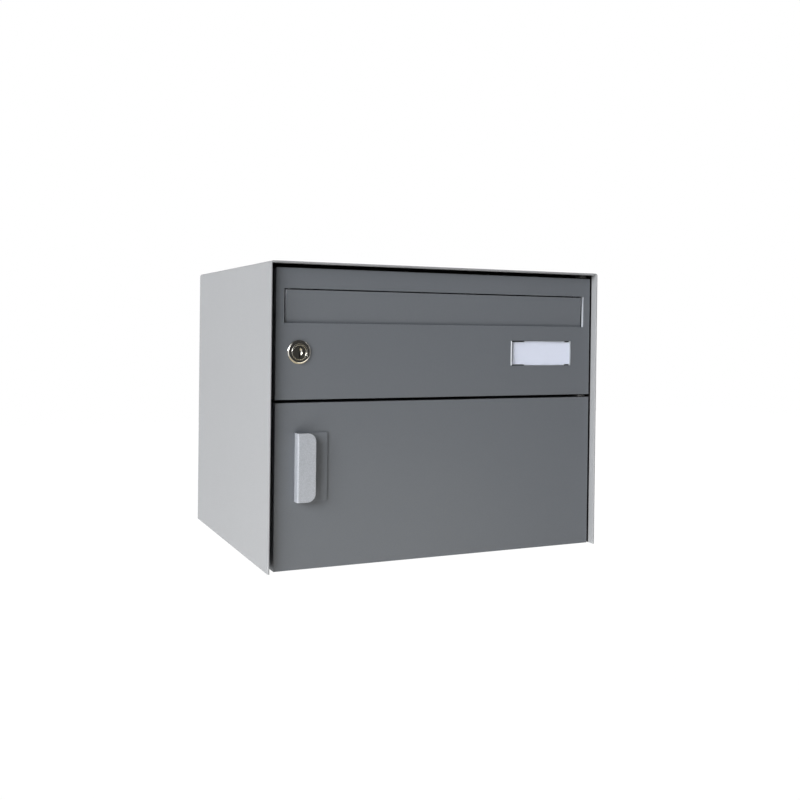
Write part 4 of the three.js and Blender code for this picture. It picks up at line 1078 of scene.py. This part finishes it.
finish_piece(hexagon_nut("barrel_nut", ["lock_nut"], bore=0.0095, chamfer=0.0009, segments=72), "upper_door",
             "zinc_steel", zinc_plate, "lock_nut")
plain_piece("lock_cam", "cam", "lock_plug", "zinc_steel", zinc_plate)
plain_piece("cam_screw", "cam_bolt", "lock_plug", "zinc_steel", zinc_plate, edge=0.00015)
plain_piece("lock_strike", "cam_wear_plate", "housing", "zinc_steel", zinc_plate)


# ------------------------------------------------------------------ name plate
# A clear acrylic cover, notched for a finger nail, snapped in the door's window. A blank card lies behind
# it in a black tray.
def clear_cover():
    """Clear acrylic, which lets the lamps through to the card."""
    material, tree, surface = new_material("clear_acrylic", transmission_weight=1.0, ior=1.49,
                                           base_color=(0.97, 0.985, 1.0))
    place = add_node(tree, "ShaderNodeTexCoord").outputs["Object"]
    haze = maths(tree, "ADD", maths(tree, "MULTIPLY", noise(tree, place, 120.0, 4.0), 0.05), 0.02)
    ripple = add_node(tree, "ShaderNodeBump", {"Height": noise(tree, place, 60.0), "Distance": 0.000004})
    feed(tree, surface.inputs, roughness=haze, normal=ripple.outputs[0])
    open_to_lamps = add_node(tree, "ShaderNodeBsdfTransparent", [(0.96, 0.97, 0.98, 1.0)])
    shadow_ray = add_node(tree, "ShaderNodeLightPath").outputs["Is Shadow Ray"]
    mix = add_node(tree, "ShaderNodeMixShader", [shadow_ray, surface.outputs[0], open_to_lamps.outputs[0]])
    tree.links.new(mix.outputs[0], tree.nodes["Material Output"].inputs["Surface"])
    return material


def speckled(name, colour, roughness, scale, detail, contrast, relief):
    """A matt surface of one colour, uneven in tone and height by the same fine noise."""
    material, tree, surface = new_material(name, roughness=roughness)
    place = add_node(tree, "ShaderNodeTexCoord").outputs["Object"]
    grain = noise(tree, place, scale, detail)
    plain = add_node(tree, "ShaderNodeRGB").outputs[0]
    plain.default_value = (*colour, 1.0)
    tone = shaded(tree, plain, maths(tree, "ADD", centred(tree, grain, contrast), 1.0))
    dress(tree, surface, tone, None, grain, relief)
    return material


COVER_END = 0.0009
COVER_EDGE = 0.00025
cover_low, cover_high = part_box("nameplate_cover")


def cover_edge(at):
    """The bevels along the cover's two ends."""
    at_end = min(abs(at.x - cover_low[0]), abs(at.x - cover_high[0])) < NEAR
    return COVER_END if at_end and abs(at.y - cover_low[1]) < NEAR else None


# The cover's end bevels get an opaque pale grey: their frosting, and partly a painted highlight.
frosted_edge = speckled("frosted_edge", (0.62, 0.64, 0.68), roughness=0.5, scale=700.0, detail=3.0,
                        contrast=0.2, relief=0.00002)
card_paper = speckled("card_paper", (0.585, 0.592, 0.67), roughness=0.85, scale=1800.0, detail=4.0,
                      contrast=0.05, relief=0.00003)
cover = rolled_edges(cad_copy("nameplate_cover", "name_cover"), COVER_END, cover_edge, COVER_EDGE, segments=2)
cover.modifiers["rolled_edges"].material = 1
finish_piece(cover, "upper_door", "cover_clear", clear_cover(), "nameplate_cover")
cover.data.materials.append(frosted_edge)
plain_piece("nameplate_card", "name_card", "upper_door", "card_paper", card_paper, edge=0.00005)
plain_piece("nameplate_holder", "card_tray", "upper_door", "black_plastic", black_plastic, edge=0.0004,
            segments=3)


# ------------------------------------------------------------------ parcel door
# The second pan, folded and coated like the letter door, with a slot for the handle's leg. A zinc plated
# counter plate on its back meets the magnetic catch.
folded_door("lower_door_panel", "parcel_door", "lower_door")
plain_piece("catch_counter_plate", "catch_plate", "lower_door", "zinc_steel", zinc_plate, edge=0.0004)


# ------------------------------------------------------------------ pull handle
# A strip of 2 mm aluminium, folded twice: a plate to pull, a leg through the door and a foot behind it.
# Its free corners are round, its edges are broken and it has a matt silver anodised finish. The broken
# edges are painted a lighter silver, as a painted highlight.
def silver_anodised(name, colour):
    """Blasted and anodised aluminium: a fine bright and dark speckle that breaks up its gloss."""
    material, tree, surface = new_material(name, metallic=0.1)
    paint = grouped(tree, powder_coat, colour=colour, roughness=0.42, drift=0.05, grain=0.22, gloss_drift=0.1)
    mask = grouped(tree, settled_dust, amount=0.1)["Mask"]
    shown = mixed_colour(tree, mask, paint["Colour"], (0.3, 0.3, 0.3))
    dress(tree, surface, shown, paint["Roughness"], paint["Height"], 0.00004)
    return material


HANDLE_SHEET = 0.002
HANDLE_BEND = 0.002
INNER_BEND = 0.0004
HANDLE_CORNER = 0.009
STUD_RADIUS = 0.002
STUD_HEIGHTS = (-0.077, -0.029)
STUD_X = -0.159
STUD_HOLE = STUD_RADIUS + 0.0003
low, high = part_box("handle")
leg_right = low[0] + HANDLE_SHEET
foot_front = high[1] - HANDLE_SHEET
plate_rear = low[1] + HANDLE_SHEET
fold = [(high[0], foot_front), (high[0], high[1]),
        *arc((low[0] + HANDLE_BEND, high[1] - HANDLE_BEND), HANDLE_BEND, 90, 180, 10),
        *arc((low[0] + HANDLE_BEND, low[1] + HANDLE_BEND), HANDLE_BEND, 180, 270, 10),
        (high[0], low[1]), (high[0], plate_rear),
        *arc((leg_right + INNER_BEND, plate_rear + INNER_BEND), INNER_BEND, 270, 180, 3),
        *arc((leg_right + INNER_BEND, foot_front - INNER_BEND), INNER_BEND, 180, 90, 3)]
handle = prism("pull_handle", [(x, y, low[2]) for x, y in fold], (0.0, 0.0, high[2] - low[2]))

# The outline seen from the front, which rounds the free corners of plate and foot.
beyond = 0.001
corner_x = high[0] - HANDLE_CORNER
blank_outline = [(low[0] - beyond, low[2]), (low[0] - beyond, high[2]),
                 *arc((corner_x, high[2] - HANDLE_CORNER), HANDLE_CORNER, 90, 0, 12),
                 *arc((corner_x, low[2] + HANDLE_CORNER), HANDLE_CORNER, 0, -90, 12)]
blank = prism("blank", [(x, low[1] - beyond, z) for x, z in blank_outline],
              (0.0, high[1] - low[1] + 2 * beyond, 0.0))
cut_away(handle, blank, operation="INTERSECT")
hole_middle = high[1] - HANDLE_SHEET / 2
stud_holes = [turn_parts("stud_hole", chamfered_bar(STUD_HOLE, -HANDLE_SHEET, HANDLE_SHEET),
                         [(STUD_X, hole_middle, z)], "Y") for z in STUD_HEIGHTS]
cut_away(handle, *stud_holes)
soften_edges(handle, width=0.0005, segments=3)
# The bevels take the second material, a lighter silver that is a painted highlight.
handle.modifiers["broken_edges"].material = 1
handle_silver = silver_anodised("handle_silver", (0.415, 0.43, 0.468))
finish_piece(handle, "lower_door", "handle_silver", handle_silver, "handle")
handle.data.materials.append(silver_anodised("handle_edge", (0.64, 0.65, 0.67)))


# ------------------------------------------------------------------ handle plate and studs
# A thin grey plate on the door beside the handle. Its two welded studs go through the door and the
# handle's foot, with a nut on each.
PLATE_GAP = 0.0003
plate_low, plate_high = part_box("handle_base_plate")
door_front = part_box("lower_door_panel")[0][1]
plate_rear_face = door_front - PLATE_GAP
base_plate = block("handle_plate", plate_low, (plate_high[0], plate_rear_face, plate_high[2]))
finish_piece(soften_edges(base_plate, width=0.00035, segments=3), "lower_door", "door_grey", door_paint,
             "handle_base_plate")

THREAD_PITCH = 0.0007
THREAD_DEPTH = 0.0002
PLAIN_LENGTH = 0.004
STUD_POINT = 0.0004
stud_end = plate_high[1]
thread = thread_rings(STUD_RADIUS, THREAD_DEPTH, plate_rear_face + PLAIN_LENGTH, stud_end - STUD_POINT,
                      THREAD_PITCH)
stud_profile = [(0.0, plate_rear_face), (STUD_RADIUS, plate_rear_face), *thread,
                (STUD_RADIUS - STUD_POINT, stud_end), (0.0, stud_end)]
studs = turn_parts("plate_studs", stud_profile, [(STUD_X, 0.0, z) for z in STUD_HEIGHTS], "Y")
finish_piece(studs, "lower_door", "zinc_steel", zinc_plate)
nuts = ["handle_nut_1", "handle_nut_2"]
finish_piece(hexagon_nut("stud_nuts", nuts, bore=STUD_HOLE, chamfer=0.0004, segments=48), "lower_door",
             "zinc_steel", zinc_plate, *nuts)
